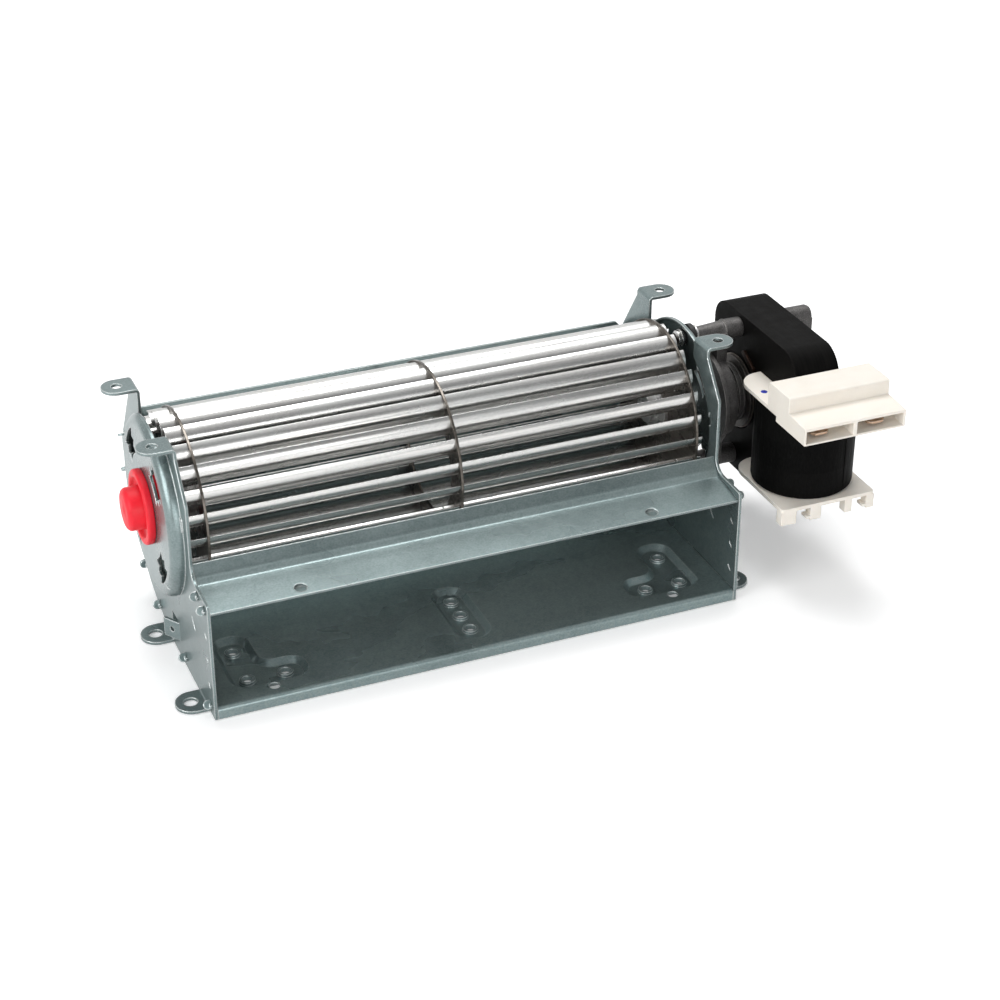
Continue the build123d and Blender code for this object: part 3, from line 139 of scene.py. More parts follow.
LAMPS_AIM = Vector((0.0, 0.0, 0.04))
for lamp_name, place, size, watts in (
        ("top_softbox", (0.10, 0.26, 0.90), (0.55, 0.5), 6.5),
        ("side_softbox", (-0.9, -0.30, 0.50), (0.6, 0.6), 6.5),
        ("front_softbox", (-0.2, -1.1, 0.32), (1.0, 0.45), 5.5)):
    lamp_data = bpy.data.lights.new(lamp_name, "AREA")
    lamp_data.shape = "RECTANGLE"
    lamp_data.size, lamp_data.size_y = size
    lamp_data.energy = watts
    lamp = bpy.data.objects.new(lamp_name, lamp_data)
    lamp.location = place
    lamp.rotation_euler = (LAMPS_AIM - Vector(place)).to_track_quat("-Z", "Y").to_euler()
    bpy.context.scene.collection.objects.link(lamp)

FLOOR_REACH = 6.0
FLOOR_GAP = 0.0003
floor_form = bmesh.new()
bmesh.ops.create_grid(floor_form, x_segments=1, y_segments=1, size=FLOOR_REACH)
bmesh.ops.translate(floor_form, verts=floor_form.verts, vec=(0.0, 0.0, -FLOOR_GAP))
floor_mesh = bpy.data.meshes.new("floor")
floor_form.to_mesh(floor_mesh)
floor_form.free()
floor = bpy.data.objects.new("floor", floor_mesh)
bpy.context.scene.collection.objects.link(floor)
floor_paper = bpy.data.materials.new("floor_paper")
floor_paper.use_nodes = True
floor_surface = floor_paper.node_tree.nodes["Principled BSDF"]
floor_surface.inputs["Base Color"].default_value = (0.9, 0.9, 0.9, 1.0)
floor_surface.inputs["Roughness"].default_value = 0.9
floor_surface.inputs["Specular IOR Level"].default_value = 0.1
floor_surface.inputs["Emission Strength"].default_value = 0.42
floor_tree = floor_paper.node_tree
floor_place = floor_tree.nodes.new("ShaderNodeTexCoord")
floor_far = add_node(floor_tree, "ShaderNodeVectorMath", operation="LENGTH")
floor_tree.links.new(floor_place.outputs["Object"], floor_far.inputs[0])
floor_glow = graded(floor_tree, floor_far.outputs["Value"],
                    From_Min=0.12, From_Max=0.5, To_Min=0.72, To_Max=1.15)
floor_seen = add_node(floor_tree, "ShaderNodeMath", operation="MULTIPLY")
floor_tree.links.new(floor_glow, floor_seen.inputs[0])
floor_tree.links.new(seen_rays(floor_tree, floor_glow), floor_seen.inputs[1])
floor_tree.links.new(floor_seen.outputs[0], floor_surface.inputs["Emission Color"])
floor_mesh.materials.append(floor_paper)
floor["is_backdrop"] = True


# Scroll sheet: the duct's floor, the rolled scroll behind the wheel and the turned-down
# front edge are one galvanised steel sheet. It is pressed with recesses and collared holes,
# and its tabs go through slots in the end plates and are twisted there.
def new_group(name, inputs, outputs):
    """An empty shader node group with named sockets, its input node and its output node."""
    group = bpy.data.node_groups.new(name, "ShaderNodeTree")
    for label, kind, value in inputs:
        group.interface.new_socket(label, in_out="INPUT", socket_type=kind).default_value = value
    for label, kind in outputs:
        group.interface.new_socket(label, in_out="OUTPUT", socket_type=kind)
    return group, group.nodes.new("NodeGroupInput"), group.nodes.new("NodeGroupOutput")


# Edges: a mask at every edge, outward and inward alike, from the Bevel node, with its rounded
# normal. The finishes below lighten their edges with it: partly wear, partly a painted highlight
# along every edge.
edge_wear_and_highlight, given, result = new_group(
    "edge_wear_and_highlight",
    [("Radius", "NodeSocketFloat", 0.0004), ("Gain", "NodeSocketFloat", 4.0)],
    [("Mask", "NodeSocketFloat"), ("Normal", "NodeSocketVector")])
edge_round = add_node(edge_wear_and_highlight, "ShaderNodeBevel", samples=6)
edge_flat = edge_wear_and_highlight.nodes.new("ShaderNodeNewGeometry")
edge_dot = add_node(edge_wear_and_highlight, "ShaderNodeVectorMath", operation="DOT_PRODUCT")
edge_turn = add_node(edge_wear_and_highlight, "ShaderNodeMath", operation="SUBTRACT")
edge_turn.inputs[0].default_value = 1.0
edge_gain = add_node(edge_wear_and_highlight, "ShaderNodeMath", operation="MULTIPLY", use_clamp=True)
edge_wear_and_highlight.links.new(given.outputs["Radius"], edge_round.inputs["Radius"])
edge_wear_and_highlight.links.new(edge_round.outputs[0], edge_dot.inputs[0])
edge_wear_and_highlight.links.new(edge_flat.outputs["Normal"], edge_dot.inputs[1])
edge_wear_and_highlight.links.new(edge_dot.outputs["Value"], edge_turn.inputs[1])
edge_wear_and_highlight.links.new(edge_turn.outputs[0], edge_gain.inputs[0])
edge_wear_and_highlight.links.new(given.outputs["Gain"], edge_gain.inputs[1])
edge_wear_and_highlight.links.new(edge_gain.outputs[0], result.inputs["Mask"])
edge_wear_and_highlight.links.new(edge_round.outputs[0], result.inputs["Normal"])

# Streaks, mottle or grain: noise stretched along the piece by its three scales.
grain, given, result = new_group(
    "grain",
    [("Stretch", "NodeSocketVector", (100.0, 100.0, 100.0)), ("Detail", "NodeSocketFloat", 3.0)],
    [("Value", "NodeSocketFloat")])
grain_place = grain.nodes.new("ShaderNodeTexCoord")
grain_scale = add_node(grain, "ShaderNodeVectorMath", operation="MULTIPLY")
grain_noise = add_node(grain, "ShaderNodeTexNoise", Scale=1.0)
grain_range = add_node(grain, "ShaderNodeMapRange", From_Min=0.3, From_Max=0.7)
grain.links.new(grain_place.outputs["Object"], grain_scale.inputs[0])
grain.links.new(given.outputs["Stretch"], grain_scale.inputs[1])
grain.links.new(grain_scale.outputs[0], grain_noise.inputs["Vector"])
grain.links.new(given.outputs["Detail"], grain_noise.inputs["Detail"])
grain.links.new(grain_noise.outputs[0], grain_range.inputs["Value"])
grain.links.new(grain_range.outputs[0], result.inputs["Value"])

# Spangle: the zinc's frozen crystals, each a little lighter or darker than the next.
spangle, given, result = new_group(
    "zinc_spangle",
    [("Scale", "NodeSocketFloat", 200.0)],
    [("Tone", "NodeSocketFloat")])
spangle_place = spangle.nodes.new("ShaderNodeTexCoord")
spangle_waver = add_node(spangle, "ShaderNodeTexNoise", Scale=260.0, Detail=2.0)
spangle_shift = add_node(spangle, "ShaderNodeVectorMath", operation="MULTIPLY_ADD")
spangle_shift.inputs[1].default_value = (0.004, 0.004, 0.004)
spangle_cells = spangle.nodes.new("ShaderNodeTexVoronoi")
spangle_split = spangle.nodes.new("ShaderNodeSeparateColor")
spangle.links.new(spangle_place.outputs["Object"], spangle_waver.inputs["Vector"])
spangle.links.new(spangle_waver.outputs["Color"], spangle_shift.inputs[0])
spangle.links.new(spangle_place.outputs["Object"], spangle_shift.inputs[2])
spangle.links.new(spangle_shift.outputs[0], spangle_cells.inputs["Vector"])
spangle.links.new(given.outputs["Scale"], spangle_cells.inputs["Scale"])
spangle.links.new(spangle_cells.outputs["Color"], spangle_split.inputs[0])
spangle.links.new(spangle_split.outputs[0], result.inputs["Tone"])


def new_finish(name, **plain):
    """A material, its node tree and its surface shader with plain values set on it."""
    material = bpy.data.materials.new(name)
    material.use_nodes = True
    surface = material.node_tree.nodes["Principled BSDF"]
    for label, value in plain.items():
        surface.inputs[label.replace("_", " ")].default_value = value
    return material, material.node_tree, surface


def use_group(tree, group, **values):
    """One use of a node group, with its own values."""
    node = tree.nodes.new("ShaderNodeGroup")
    node.node_tree = group
    for label, value in values.items():
        node.inputs[label].default_value = value
    return node


def mixed(tree, mask, low, high, share=1.0):
    """A colour that goes from low to high with a mask."""
    node = add_node(tree, "ShaderNodeMix", data_type="RGBA")
    if share != 1.0:
        mask = ranged(tree, mask, 0.0, share)
    tree.links.new(mask, node.inputs[0])
    for socket, colour in ((node.inputs[6], low), (node.inputs[7], high)):
        if isinstance(colour, tuple):
            socket.default_value = (*colour, 1.0)
        else:
            tree.links.new(colour, socket)
    return node.outputs[2]


def ranged(tree, mask, low, high):
    """A number that goes from low to high with a mask."""
    node = add_node(tree, "ShaderNodeMapRange", To_Min=low, To_Max=high)
    tree.links.new(mask, node.inputs["Value"])
    return node.outputs[0]


def bumped(tree, height, normal, depth, strength):
    """A surface normal raised by a height pattern."""
    node = add_node(tree, "ShaderNodeBump", Strength=strength, Distance=depth)
    tree.links.new(height, node.inputs["Height"])
    tree.links.new(normal, node.inputs["Normal"])
    return node.outputs[0]


def coat(tree, surface, colour, roughness, normal):
    """Joins a finish's colour, roughness and relief to its surface shader."""
    for label, source in (("Base Color", colour), ("Roughness", roughness), ("Normal", normal)):
        tree.links.new(source, surface.inputs[label])


def dress(material, *names):
    """Gives CAD nodes their finish."""
    for name in names:
        nodes[name].data.materials.clear()
        nodes[name].data.materials.append(material)


def galvanised(name, painted_light_lift):
    """Galvanised steel sheet, its colours multiplied by a lift, which paints extra light on sheet
    that lies in shade.
    """
    material, tree, surface = new_finish(name, Metallic=0.66)
    crystals = use_group(tree, spangle, Scale=520.0)
    streaks = use_group(tree, grain, Stretch=(14.0, 110.0, 110.0), Detail=4.0)
    mottle = use_group(tree, grain, Stretch=(1500.0, 1900.0, 1900.0), Detail=3.0)
    cloud = use_group(tree, grain, Stretch=(24.0, 40.0, 40.0), Detail=3.0)
    edge = use_group(tree, edge_wear_and_highlight, Radius=0.0006, Gain=3.5)
    dull, bright, frost, stain, spark = [tuple(painted_light_lift * part for part in tone) for tone in (
        (0.105, 0.150, 0.153), (0.165, 0.218, 0.220), (0.22, 0.275, 0.275),
        (0.10, 0.132, 0.132), (0.32, 0.362, 0.358))]
    colour = mixed(tree, cloud.outputs["Value"], dull, bright)
    colour = mixed(tree, crystals.outputs["Tone"], colour, frost, 0.35)
    colour = mixed(tree, streaks.outputs["Value"], colour, stain, 0.3)
    colour = mixed(tree, mottle.outputs["Value"], colour, spark, 0.35)
    colour = mixed(tree, edge.outputs["Mask"], colour, (0.74, 0.77, 0.76))
    relief = bumped(tree, crystals.outputs["Tone"], edge.outputs["Normal"], 0.00001, 0.5)
    relief = bumped(tree, mottle.outputs["Value"], relief, 0.00001, 0.6)
    coat(tree, surface, colour, ranged(tree, cloud.outputs["Value"], 0.24, 0.34), relief)
    return material


# The scroll sheet takes a copy of the finish painted 1.4 times lighter, as painted light in the dim
# duct; the end plates and the cut-off take it as it is.
scroll_steel_painted_lighter = galvanised("scroll_steel_painted_lighter", 1.4)
sheet_steel = galvanised("galvanised_sheet", 1.0)
dress(scroll_steel_painted_lighter, "scroll_sheet")

SHARP = math.radians(36)
LEVEL = math.cos(math.radians(0.3))
JOINED = 2e-6
UNBENT = math.radians(0.6)


def merged_copy(node):
    """A CAD node's form with its loose triangles joined and its flat parts made whole."""
    form = bmesh.new()
    form.from_mesh(nodes[node].data)
    bmesh.ops.remove_doubles(form, verts=form.verts, dist=JOINED)
    bmesh.ops.dissolve_limit(form, angle_limit=UNBENT, verts=form.verts, edges=form.edges,
                             delimit={"NORMAL"})
    return form


def flats_along(form, normal):
    """The faces that lie square to a direction, on either side of a sheet."""
    return {face for face in form.faces if abs(face.normal.dot(normal)) > LEVEL}


def new_piece(name, form, material, body="housing", flats=()):
    """A piece from a finished form, with its finish, riding on a body."""
    for edge in form.edges:
        edge.smooth = not edge.is_manifold or edge.calc_face_angle() < SHARP
    for face in form.faces:
        face.smooth = face not in flats
    mesh = bpy.data.meshes.new(name)
    form.to_mesh(mesh)
    form.free()
    mesh.materials.append(material)
    piece = bpy.data.objects.new(name, mesh)
    bpy.context.scene.collection.objects.link(piece)
    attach(piece, body)
    return piece


def even_shading(piece):
    """Keeps a piece's flats flat beside its roundings."""
    even = piece.modifiers.new("even_shading", "WEIGHTED_NORMAL")
    even.keep_sharp = True


# The press draws each recess with sloping sides: the walls' upper edges are moved apart and
# their lower edges together, on the sheet's upper face and on its underside alike. Then all
# that lies within goes down a little further, and the rims are rounded.
FLOOR_TOP = 0.004
SHEET_T = 0.0008
SKINS = (FLOOR_TOP, FLOOR_TOP - SHEET_T)
RECESS_DEPTH = 0.0012
DRAWN_DEEPER = 0.0007
SLOPE_IN = 0.0014
SLOPE_OUT = (0.0004, 0.0002)
RIM_ROUND = 0.0004
FRONT_EDGE_Y = -0.0305
NEAR = 1e-5
UPRIGHT, SLOPED, LYING = 0.1, (0.3, 0.99), 0.999


def is_near(height, level):
    """Whether a height is a level's, within the mesh's rounding."""
    return abs(height - level) < NEAR


pressed = merged_copy("scroll_sheet")
pushes = {}
for top, away, outward in zip(SKINS, (-1.0, 1.0), SLOPE_OUT):
    for face in pressed.faces:
        heights = [corner.co.z for corner in face.verts]
        if not (is_near(max(heights), top) and is_near(min(heights), top - RECESS_DEPTH)):
            continue
        behind_edge = min(corner.co.y for corner in face.verts) > FRONT_EDGE_Y
        if abs(face.normal.z) < UPRIGHT and behind_edge:
            for corner in face.verts:
                push = outward if is_near(corner.co.z, top) else -SLOPE_IN
                pushes.setdefault(corner, []).append((away * face.normal, push))
for corner, sides in pushes.items():
    across = sum((side for side, push in sides), Vector((0.0, 0.0, 0.0)))
    corner.co += Vector((across.x, across.y, 0.0)).normalized() * sides[0][1]
drawn = {corner for corner in pushes
         if any(is_near(corner.co.z, top - RECESS_DEPTH) for top in SKINS)}
reached = set(drawn)
while reached:
    beyond = {edge.other_vert(corner) for corner in reached for edge in corner.link_edges}
    reached = beyond - drawn - set(pushes)
    drawn |= reached
bmesh.ops.translate(pressed, verts=list(drawn), vec=(0.0, 0.0, -DRAWN_DEEPER))
pressed.normal_update()
slopes = {face for corner in pushes for face in corner.link_faces
          if SLOPED[0] < abs(face.normal.z) < SLOPED[1]
          and all(other in pushes for other in face.verts)}
rims = {edge for face in slopes for edge in face.edges
        if any(abs(other.normal.z) > LYING for other in edge.link_faces)}
bmesh.ops.bevel(pressed, geom=list(rims), offset=RIM_ROUND, offset_type="OFFSET", segments=3,
                profile=0.5, affect="EDGES", material=-1, clamp_overlap=True)
pressed.normal_update()
pressed_sheet = new_piece("pressed_sheet", pressed, scroll_steel_painted_lighter,
                          flats=flats_along(pressed, Vector((0.0, 0.0, 1.0))))
even_shading(pressed_sheet)
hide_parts("scroll_sheet")

# Cut-off sheet: a narrow galvanised strip over the outlet, folded near the wheel, that
# splits the air there. It is held by twisted tabs like the scroll sheet's. The fold lies
# a little further back here, so that it catches the light as one thin line.
FOLD_FRONT, FOLD_BACK, FOLD_LOW = -0.01985, -0.0187, 0.037
FOLD_SHIFT = Vector((0.0, 0.0018, 0.00024))
dress(sheet_steel, "cutoff_sheet")
folded = merged_copy("cutoff_sheet")
for corner in folded.verts:
    if FOLD_FRONT < corner.co.y < FOLD_BACK and corner.co.z > FOLD_LOW:
        corner.co += FOLD_SHIFT
folded.normal_update()
front_flat = max(folded.faces, key=lambda face: face.calc_area())
folded_sheet = new_piece("folded_cutoff", folded, sheet_steel,
                         flats=flats_along(folded, front_flat.normal.copy()))
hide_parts("cutoff_sheet")

# End plates: pressed from the same galvanised sheet, each with a dish round the shaft,
# folded feet and ears, and star-ended vents. The left one also has a lanced earth tab.
dress(sheet_steel, "left_end_plate", "right_end_plate")

# Bearing mount: smooth red silicone rubber, moulded in one piece. Its groove snaps into
# the hole of the left dish, its round nose shows outside, and the bush sits in its hollow.
BUSH_X, SEAT_R, SEAT_DEPTH = -94.135, 5.05, 3.57
HOLLOW_R, HOLLOW_END = 3.3, -99.07
SPUN_GAP = 1e-6
MOUNT_OUTLINE = (
    (-101.7, 0.0), (-101.7, 1.1), (-101.55, 1.35), (-101.55, 4.9), (-101.4, 5.7), (-101.05, 6.35),
    (-100.55, 6.8), (-99.9, 7.0), (-96.0, 7.05), (-95.55, 7.2), (-95.35, 7.6), (-95.3, 8.3),
    (-95.35, 9.0), (-95.6, 9.45), (-96.1, 9.7), (-96.6, 9.85), (-96.85, 10.15), (-96.9, 10.6),
    (-96.9, 11.4), (-96.75, 11.85), (-96.4, 12.12), (-95.9, 12.2), (-94.75, 12.2), (-94.4, 12.08),
    (-94.3, 11.8), (-94.3, 9.2), (-93.2, 9.2), (-93.2, 11.2), (-93.0, 11.4), (-92.7, 11.35),
    (-90.6, 10.1), (-90.4, 9.8), (-90.4, 4.7), (-90.6, 4.4), (-91.66, 4.4))


def turned_form(outline, steps):
    """A closed form turned about the shaft's line, from points in mm along it and out from it."""
    form = bmesh.new()
    points = [form.verts.new((x / 1000, shaft.y, shaft.z + radius / 1000)) for x, radius in outline]
    lines = [form.edges.new(pair) for pair in zip(points, points[1:])]
    bmesh.ops.spin(form, geom=points + lines, cent=(0.0, shaft.y, shaft.z), axis=(1.0, 0.0, 0.0),
                   angle=math.tau, steps=steps, use_merge=True)
    bmesh.ops.remove_doubles(form, verts=form.verts, dist=SPUN_GAP)
    bmesh.ops.recalc_face_normals(form, faces=form.faces)
    return form


silicone, tree, surface = new_finish("red_silicone", Specular_IOR_Level=0.35)
haze = use_group(tree, grain, Stretch=(220.0, 220.0, 220.0), Detail=4.0)
pores = use_group(tree, grain, Stretch=(3200.0, 3200.0, 3200.0), Detail=2.0)
edge = use_group(tree, edge_wear_and_highlight, Radius=0.0003, Gain=2.0)
colour = mixed(tree, haze.outputs["Value"], (0.66, 0.006, 0.018), (0.74, 0.012, 0.028))
colour = mixed(tree, edge.outputs["Mask"], colour, (0.76, 0.03, 0.05))
relief = bumped(tree, pores.outputs["Value"], edge.outputs["Normal"], 0.00001, 0.4)
coat(tree, surface, colour, ranged(tree, haze.outputs["Value"], 0.42, 0.55), relief)

seat_angles = [math.radians(degrees) for degrees in (28, 10, -10, -28, -45)]
hollow = [(BUSH_X + SEAT_R * math.sin(angle), SEAT_R * math.cos(angle)) for angle in seat_angles]
hollow += [(BUSH_X - SEAT_DEPTH, HOLLOW_R), (HOLLOW_END, HOLLOW_R), (HOLLOW_END, 0.0)]
mount_form = turned_form((*MOUNT_OUTLINE, *hollow), steps=96)
mount = new_piece("silicone_mount", mount_form, silicone)
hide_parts("bearing_mount")
dress(silicone, "bearing_mount")

# Bushes: oil-soaked sintered bronze, pressed to a barrel shape so that each can tilt in
# its seat. Two thin spring steel rings hold the motor's two in their hubs.
bronze, tree, surface = new_finish("sintered_bronze", Metallic=0.8)
powder = use_group(tree, grain, Stretch=(5000.0, 5000.0, 5000.0), Detail=3.0)
oil = use_group(tree, grain, Stretch=(400.0, 400.0, 400.0), Detail=3.0)
edge = use_group(tree, edge_wear_and_highlight, Radius=0.0002, Gain=4.0)
colour = mixed(tree, powder.outputs["Value"], (0.24, 0.14, 0.07), (0.50, 0.34, 0.19))
colour = mixed(tree, oil.outputs["Value"], colour, (0.16, 0.09, 0.045), 0.5)
colour = mixed(tree, edge.outputs["Mask"], colour, (0.68, 0.48, 0.28))
relief = bumped(tree, powder.outputs["Value"], edge.outputs["Normal"], 0.00004, 0.7)
coat(tree, surface, colour, ranged(tree, oil.outputs["Value"], 0.55, 0.32), relief)
dress(bronze, "left_bush", "front_bush", "rear_bush")

spring, tree, surface = new_finish("spring_steel", Metallic=0.9)
temper = use_group(tree, grain, Stretch=(500.0, 500.0, 500.0), Detail=3.0)
scale = use_group(tree, grain, Stretch=(4000.0, 900.0, 900.0), Detail=3.0)
edge = use_group(tree, edge_wear_and_highlight, Radius=0.00012, Gain=4.0)
colour = mixed(tree, temper.outputs["Value"], (0.20, 0.20, 0.22), (0.34, 0.31, 0.30))
colour = mixed(tree, edge.outputs["Mask"], colour, (0.62, 0.60, 0.58))
relief = bumped(tree, scale.outputs["Value"], edge.outputs["Normal"], 0.00001, 0.5)
coat(tree, surface, colour, ranged(tree, scale.outputs["Value"], 0.25, 0.42), relief)
dress(spring, "bush_clips", "hub_grub_screw")

# Wheel discs and centre ring: thin aluminium, stamped with a slot for every blade. The
# blades pass through and are clinched. The rims are coloured a dark brown grey, and the
# discs' flat sides darker still, as painted shade.
disc_metal, tree, surface = new_finish("wheel_aluminium", Metallic=0.95)
rolling = use_group(tree, grain, Stretch=(600.0, 60.0, 1400.0), Detail=4.0)
dull = use_group(tree, grain, Stretch=(160.0, 160.0, 160.0), Detail=3.0)
edge = use_group(tree, edge_wear_and_highlight, Radius=0.0003, Gain=3.0)
# The faces that look along the shaft, the flat sides, take a darker colour: painted shade.
flank = add_node(tree, "ShaderNodeSeparateXYZ")
flank_side = add_node(tree, "ShaderNodeMath", operation="ABSOLUTE")
tree.links.new(tree.nodes.new("ShaderNodeTexCoord").outputs["Normal"], flank.inputs[0])
tree.links.new(flank.outputs["X"], flank_side.inputs[0])
colour = mixed(tree, rolling.outputs["Value"], (0.07, 0.062, 0.053), (0.17, 0.155, 0.138))
flank_painted_shade = mixed(tree, rolling.outputs["Value"], (0.07, 0.058, 0.048), (0.14, 0.122, 0.105))
colour = mixed(tree, flank_side.outputs[0], colour, flank_painted_shade)
colour = mixed(tree, dull.outputs["Value"], colour, (0.12, 0.105, 0.09), 0.3)
relief = bumped(tree, rolling.outputs["Value"], edge.outputs["Normal"], 0.00002, 0.4)
coat(tree, surface, colour, ranged(tree, dull.outputs["Value"], 0.22, 0.34), relief)
dress(disc_metal, "left_disc", "centre_ring", "right_disc")

# Blades: twenty-four strips of bright rolled aluminium, curved across and straight along.
# Rolling leaves fine lines along them, and handling a cloudy speckle on the outer sides.
BLADES = 24
strip, tree, surface = new_finish("blade_strip", Metallic=1.0)
lines = use_group(tree, grain, Stretch=(6.0, 1500.0, 1500.0), Detail=4.0)
speckle = use_group(tree, grain, Stretch=(900.0, 1900.0, 1900.0), Detail=3.0)
cloud = use_group(tree, grain, Stretch=(28.0, 120.0, 120.0), Detail=3.0)
edge = use_group(tree, edge_wear_and_highlight, Radius=0.00016, Gain=3.0)
colour = mixed(tree, lines.outputs["Value"], (0.54, 0.535, 0.52), (0.71, 0.695, 0.675))
colour = mixed(tree, cloud.outputs["Value"], colour, (0.40, 0.425, 0.42), 0.5)
colour = mixed(tree, speckle.outputs["Value"], colour, (0.86, 0.85, 0.84), 0.25)
colour = mixed(tree, edge.outputs["Mask"], colour, (0.92, 0.92, 0.90))
relief = bumped(tree, lines.outputs["Value"], edge.outputs["Normal"], 0.000004, 0.5)
coat(tree, surface, colour, ranged(tree, cloud.outputs["Value"], 0.20, 0.32), relief)
dress(strip, *[f"blade_{number:02d}" for number in range(1, BLADES + 1)])

# Hubs: turned from aluminium bar, with the tool's fine rings on them. The left one holds
# the stub shaft in the soft mount; the right one is locked to the motor's shaft by a screw.
turned_metal, tree, surface = new_finish("turned_aluminium", Metallic=1.0)
tool_rings = use_group(tree, grain, Stretch=(9000.0, 60.0, 60.0), Detail=2.0)
stain = use_group(tree, grain, Stretch=(250.0, 250.0, 250.0), Detail=3.0)
edge = use_group(tree, edge_wear_and_highlight, Radius=0.00025, Gain=3.0)
colour = mixed(tree, tool_rings.outputs["Value"], (0.50, 0.50, 0.50), (0.68, 0.68, 0.67))
colour = mixed(tree, stain.outputs["Value"], colour, (0.42, 0.42, 0.41), 0.4)
colour = mixed(tree, edge.outputs["Mask"], colour, (0.92, 0.92, 0.91))
relief = bumped(tree, tool_rings.outputs["Value"], edge.outputs["Normal"], 0.00002, 0.6)
coat(tree, surface, colour, ranged(tree, stain.outputs["Value"], 0.24, 0.38), relief)
dress(turned_metal, "stub_hub", "shaft_hub")

# Shafts: hardened steel, ground round. The short one turns in the left bush, and the long
# one carries the rotor through both motor bushes to a bare end.
ground, tree, surface = new_finish("ground_steel", Metallic=1.0)
grinding = use_group(tree, grain, Stretch=(14000.0, 120.0, 120.0), Detail=2.0)
film = use_group(tree, grain, Stretch=(140.0, 300.0, 300.0), Detail=3.0)
edge = use_group(tree, edge_wear_and_highlight, Radius=0.00025, Gain=3.0)
colour = mixed(tree, grinding.outputs["Value"], (0.42, 0.42, 0.43), (0.58, 0.58, 0.585))
colour = mixed(tree, film.outputs["Value"], colour, (0.34, 0.32, 0.29), 0.35)
colour = mixed(tree, edge.outputs["Mask"], colour, (0.82, 0.82, 0.82))
relief = bumped(tree, grinding.outputs["Value"], edge.outputs["Normal"], 0.00001, 0.5)
coat(tree, surface, colour, ranged(tree, film.outputs["Value"], 0.16, 0.30), relief)
dress(ground, "stub_shaft", "motor_shaft")

# Thrust washers: thin rings stamped from white nylon. They keep the wheel's hub and the
# rotor off the bushes, and are loose on the shafts.
nylon, tree, surface = new_finish("nylon", Subsurface_Weight=0.2)
surface.inputs["Subsurface Radius"].default_value = (0.001, 0.001, 0.0008)
milky = use_group(tree, grain, Stretch=(900.0, 900.0, 900.0), Detail=3.0)
edge = use_group(tree, edge_wear_and_highlight, Radius=0.00012, Gain=2.0)
colour = mixed(tree, milky.outputs["Value"], (0.74, 0.72, 0.66), (0.84, 0.82, 0.77))
colour = mixed(tree, edge.outputs["Mask"], colour, (0.90, 0.89, 0.86))
roughness = ranged(tree, milky.outputs["Value"], 0.38, 0.52)
coat(tree, surface, colour, roughness, edge.outputs["Normal"])
dress(nylon, "stub_washer", "rotor_washers")

# Brackets: dull zinc die castings, one in front of the laminations and one behind. Each
# has a hub for its bush and two arms that end in posts, their edges rounded by the die.
def softened_copy(node, name, width, material):
    """A cast or moulded piece in place of a CAD node, with its corners rounded."""
    form = merged_copy(node)
    corners = [edge for edge in form.edges if edge.is_manifold and edge.calc_face_angle() > SHARP]
    bmesh.ops.bevel(form, geom=corners, offset=width, offset_type="OFFSET", segments=2,
                    profile=0.5, affect="EDGES", material=-1, clamp_overlap=True)
    piece = new_piece(name, form, material)
    even_shading(piece)
    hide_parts(node)


zinc, tree, surface = new_finish("cast_zinc", Metallic=0.75)
skin = use_group(tree, grain, Stretch=(2600.0, 2600.0, 2600.0), Detail=3.0)
flow = use_group(tree, grain, Stretch=(300.0, 300.0, 300.0), Detail=4.0)
edge = use_group(tree, edge_wear_and_highlight, Radius=0.0004, Gain=2.5)
colour = mixed(tree, flow.outputs["Value"], (0.036, 0.034, 0.033), (0.080, 0.077, 0.075))
colour = mixed(tree, skin.outputs["Value"], colour, (0.22, 0.212, 0.208), 0.45)
colour = mixed(tree, edge.outputs["Mask"], colour, (0.34, 0.325, 0.31))
relief = bumped(tree, skin.outputs["Value"], edge.outputs["Normal"], 0.00005, 0.6)
relief = bumped(tree, flow.outputs["Value"], relief, 0.0001, 0.4)
coat(tree, surface, colour, ranged(tree, flow.outputs["Value"], 0.42, 0.58), relief)
dress(zinc, "front_bracket", "rear_bracket")
CAST_ROUND = 0.0003
softened_copy("front_bracket", "front_casting", CAST_ROUND, zinc)
softened_copy("rear_bracket", "rear_casting", CAST_ROUND, zinc)

# Motor laminations and core bar: half millimetre iron stampings, stacked along the shaft
# and dipped in black lacquer, which leaves the seams between them as faint lines.
layers, given, result = new_group(
    "stacked_layers",
    [("Pitch", "NodeSocketVector", (2000.0, 0.0, 0.0))],
    [("Seam", "NodeSocketFloat"), ("Tone", "NodeSocketFloat")])
layer_place = layers.nodes.new("ShaderNodeTexCoord")
layer_count = add_node(layers, "ShaderNodeVectorMath", operation="DOT_PRODUCT")
layer_part = add_node(layers, "ShaderNodeMath", operation="PINGPONG")
layer_part.inputs[1].default_value = 0.5
layer_seam = add_node(layers, "ShaderNodeMapRange", From_Max=0.16, To_Min=1.0, To_Max=0.0)
layer_number = add_node(layers, "ShaderNodeMath", operation="FLOOR")
layer_tone = add_node(layers, "ShaderNodeTexWhiteNoise", noise_dimensions="1D")
layers.links.new(layer_place.outputs["Object"], layer_count.inputs[0])
layers.links.new(given.outputs["Pitch"], layer_count.inputs[1])
layers.links.new(layer_count.outputs["Value"], layer_part.inputs[0])
layers.links.new(layer_part.outputs[0], layer_seam.inputs["Value"])
layers.links.new(layer_count.outputs["Value"], layer_number.inputs[0])
layers.links.new(layer_number.outputs[0], layer_tone.inputs["W"])
layers.links.new(layer_seam.outputs[0], result.inputs["Seam"])
layers.links.new(layer_tone.outputs["Value"], result.inputs["Tone"])

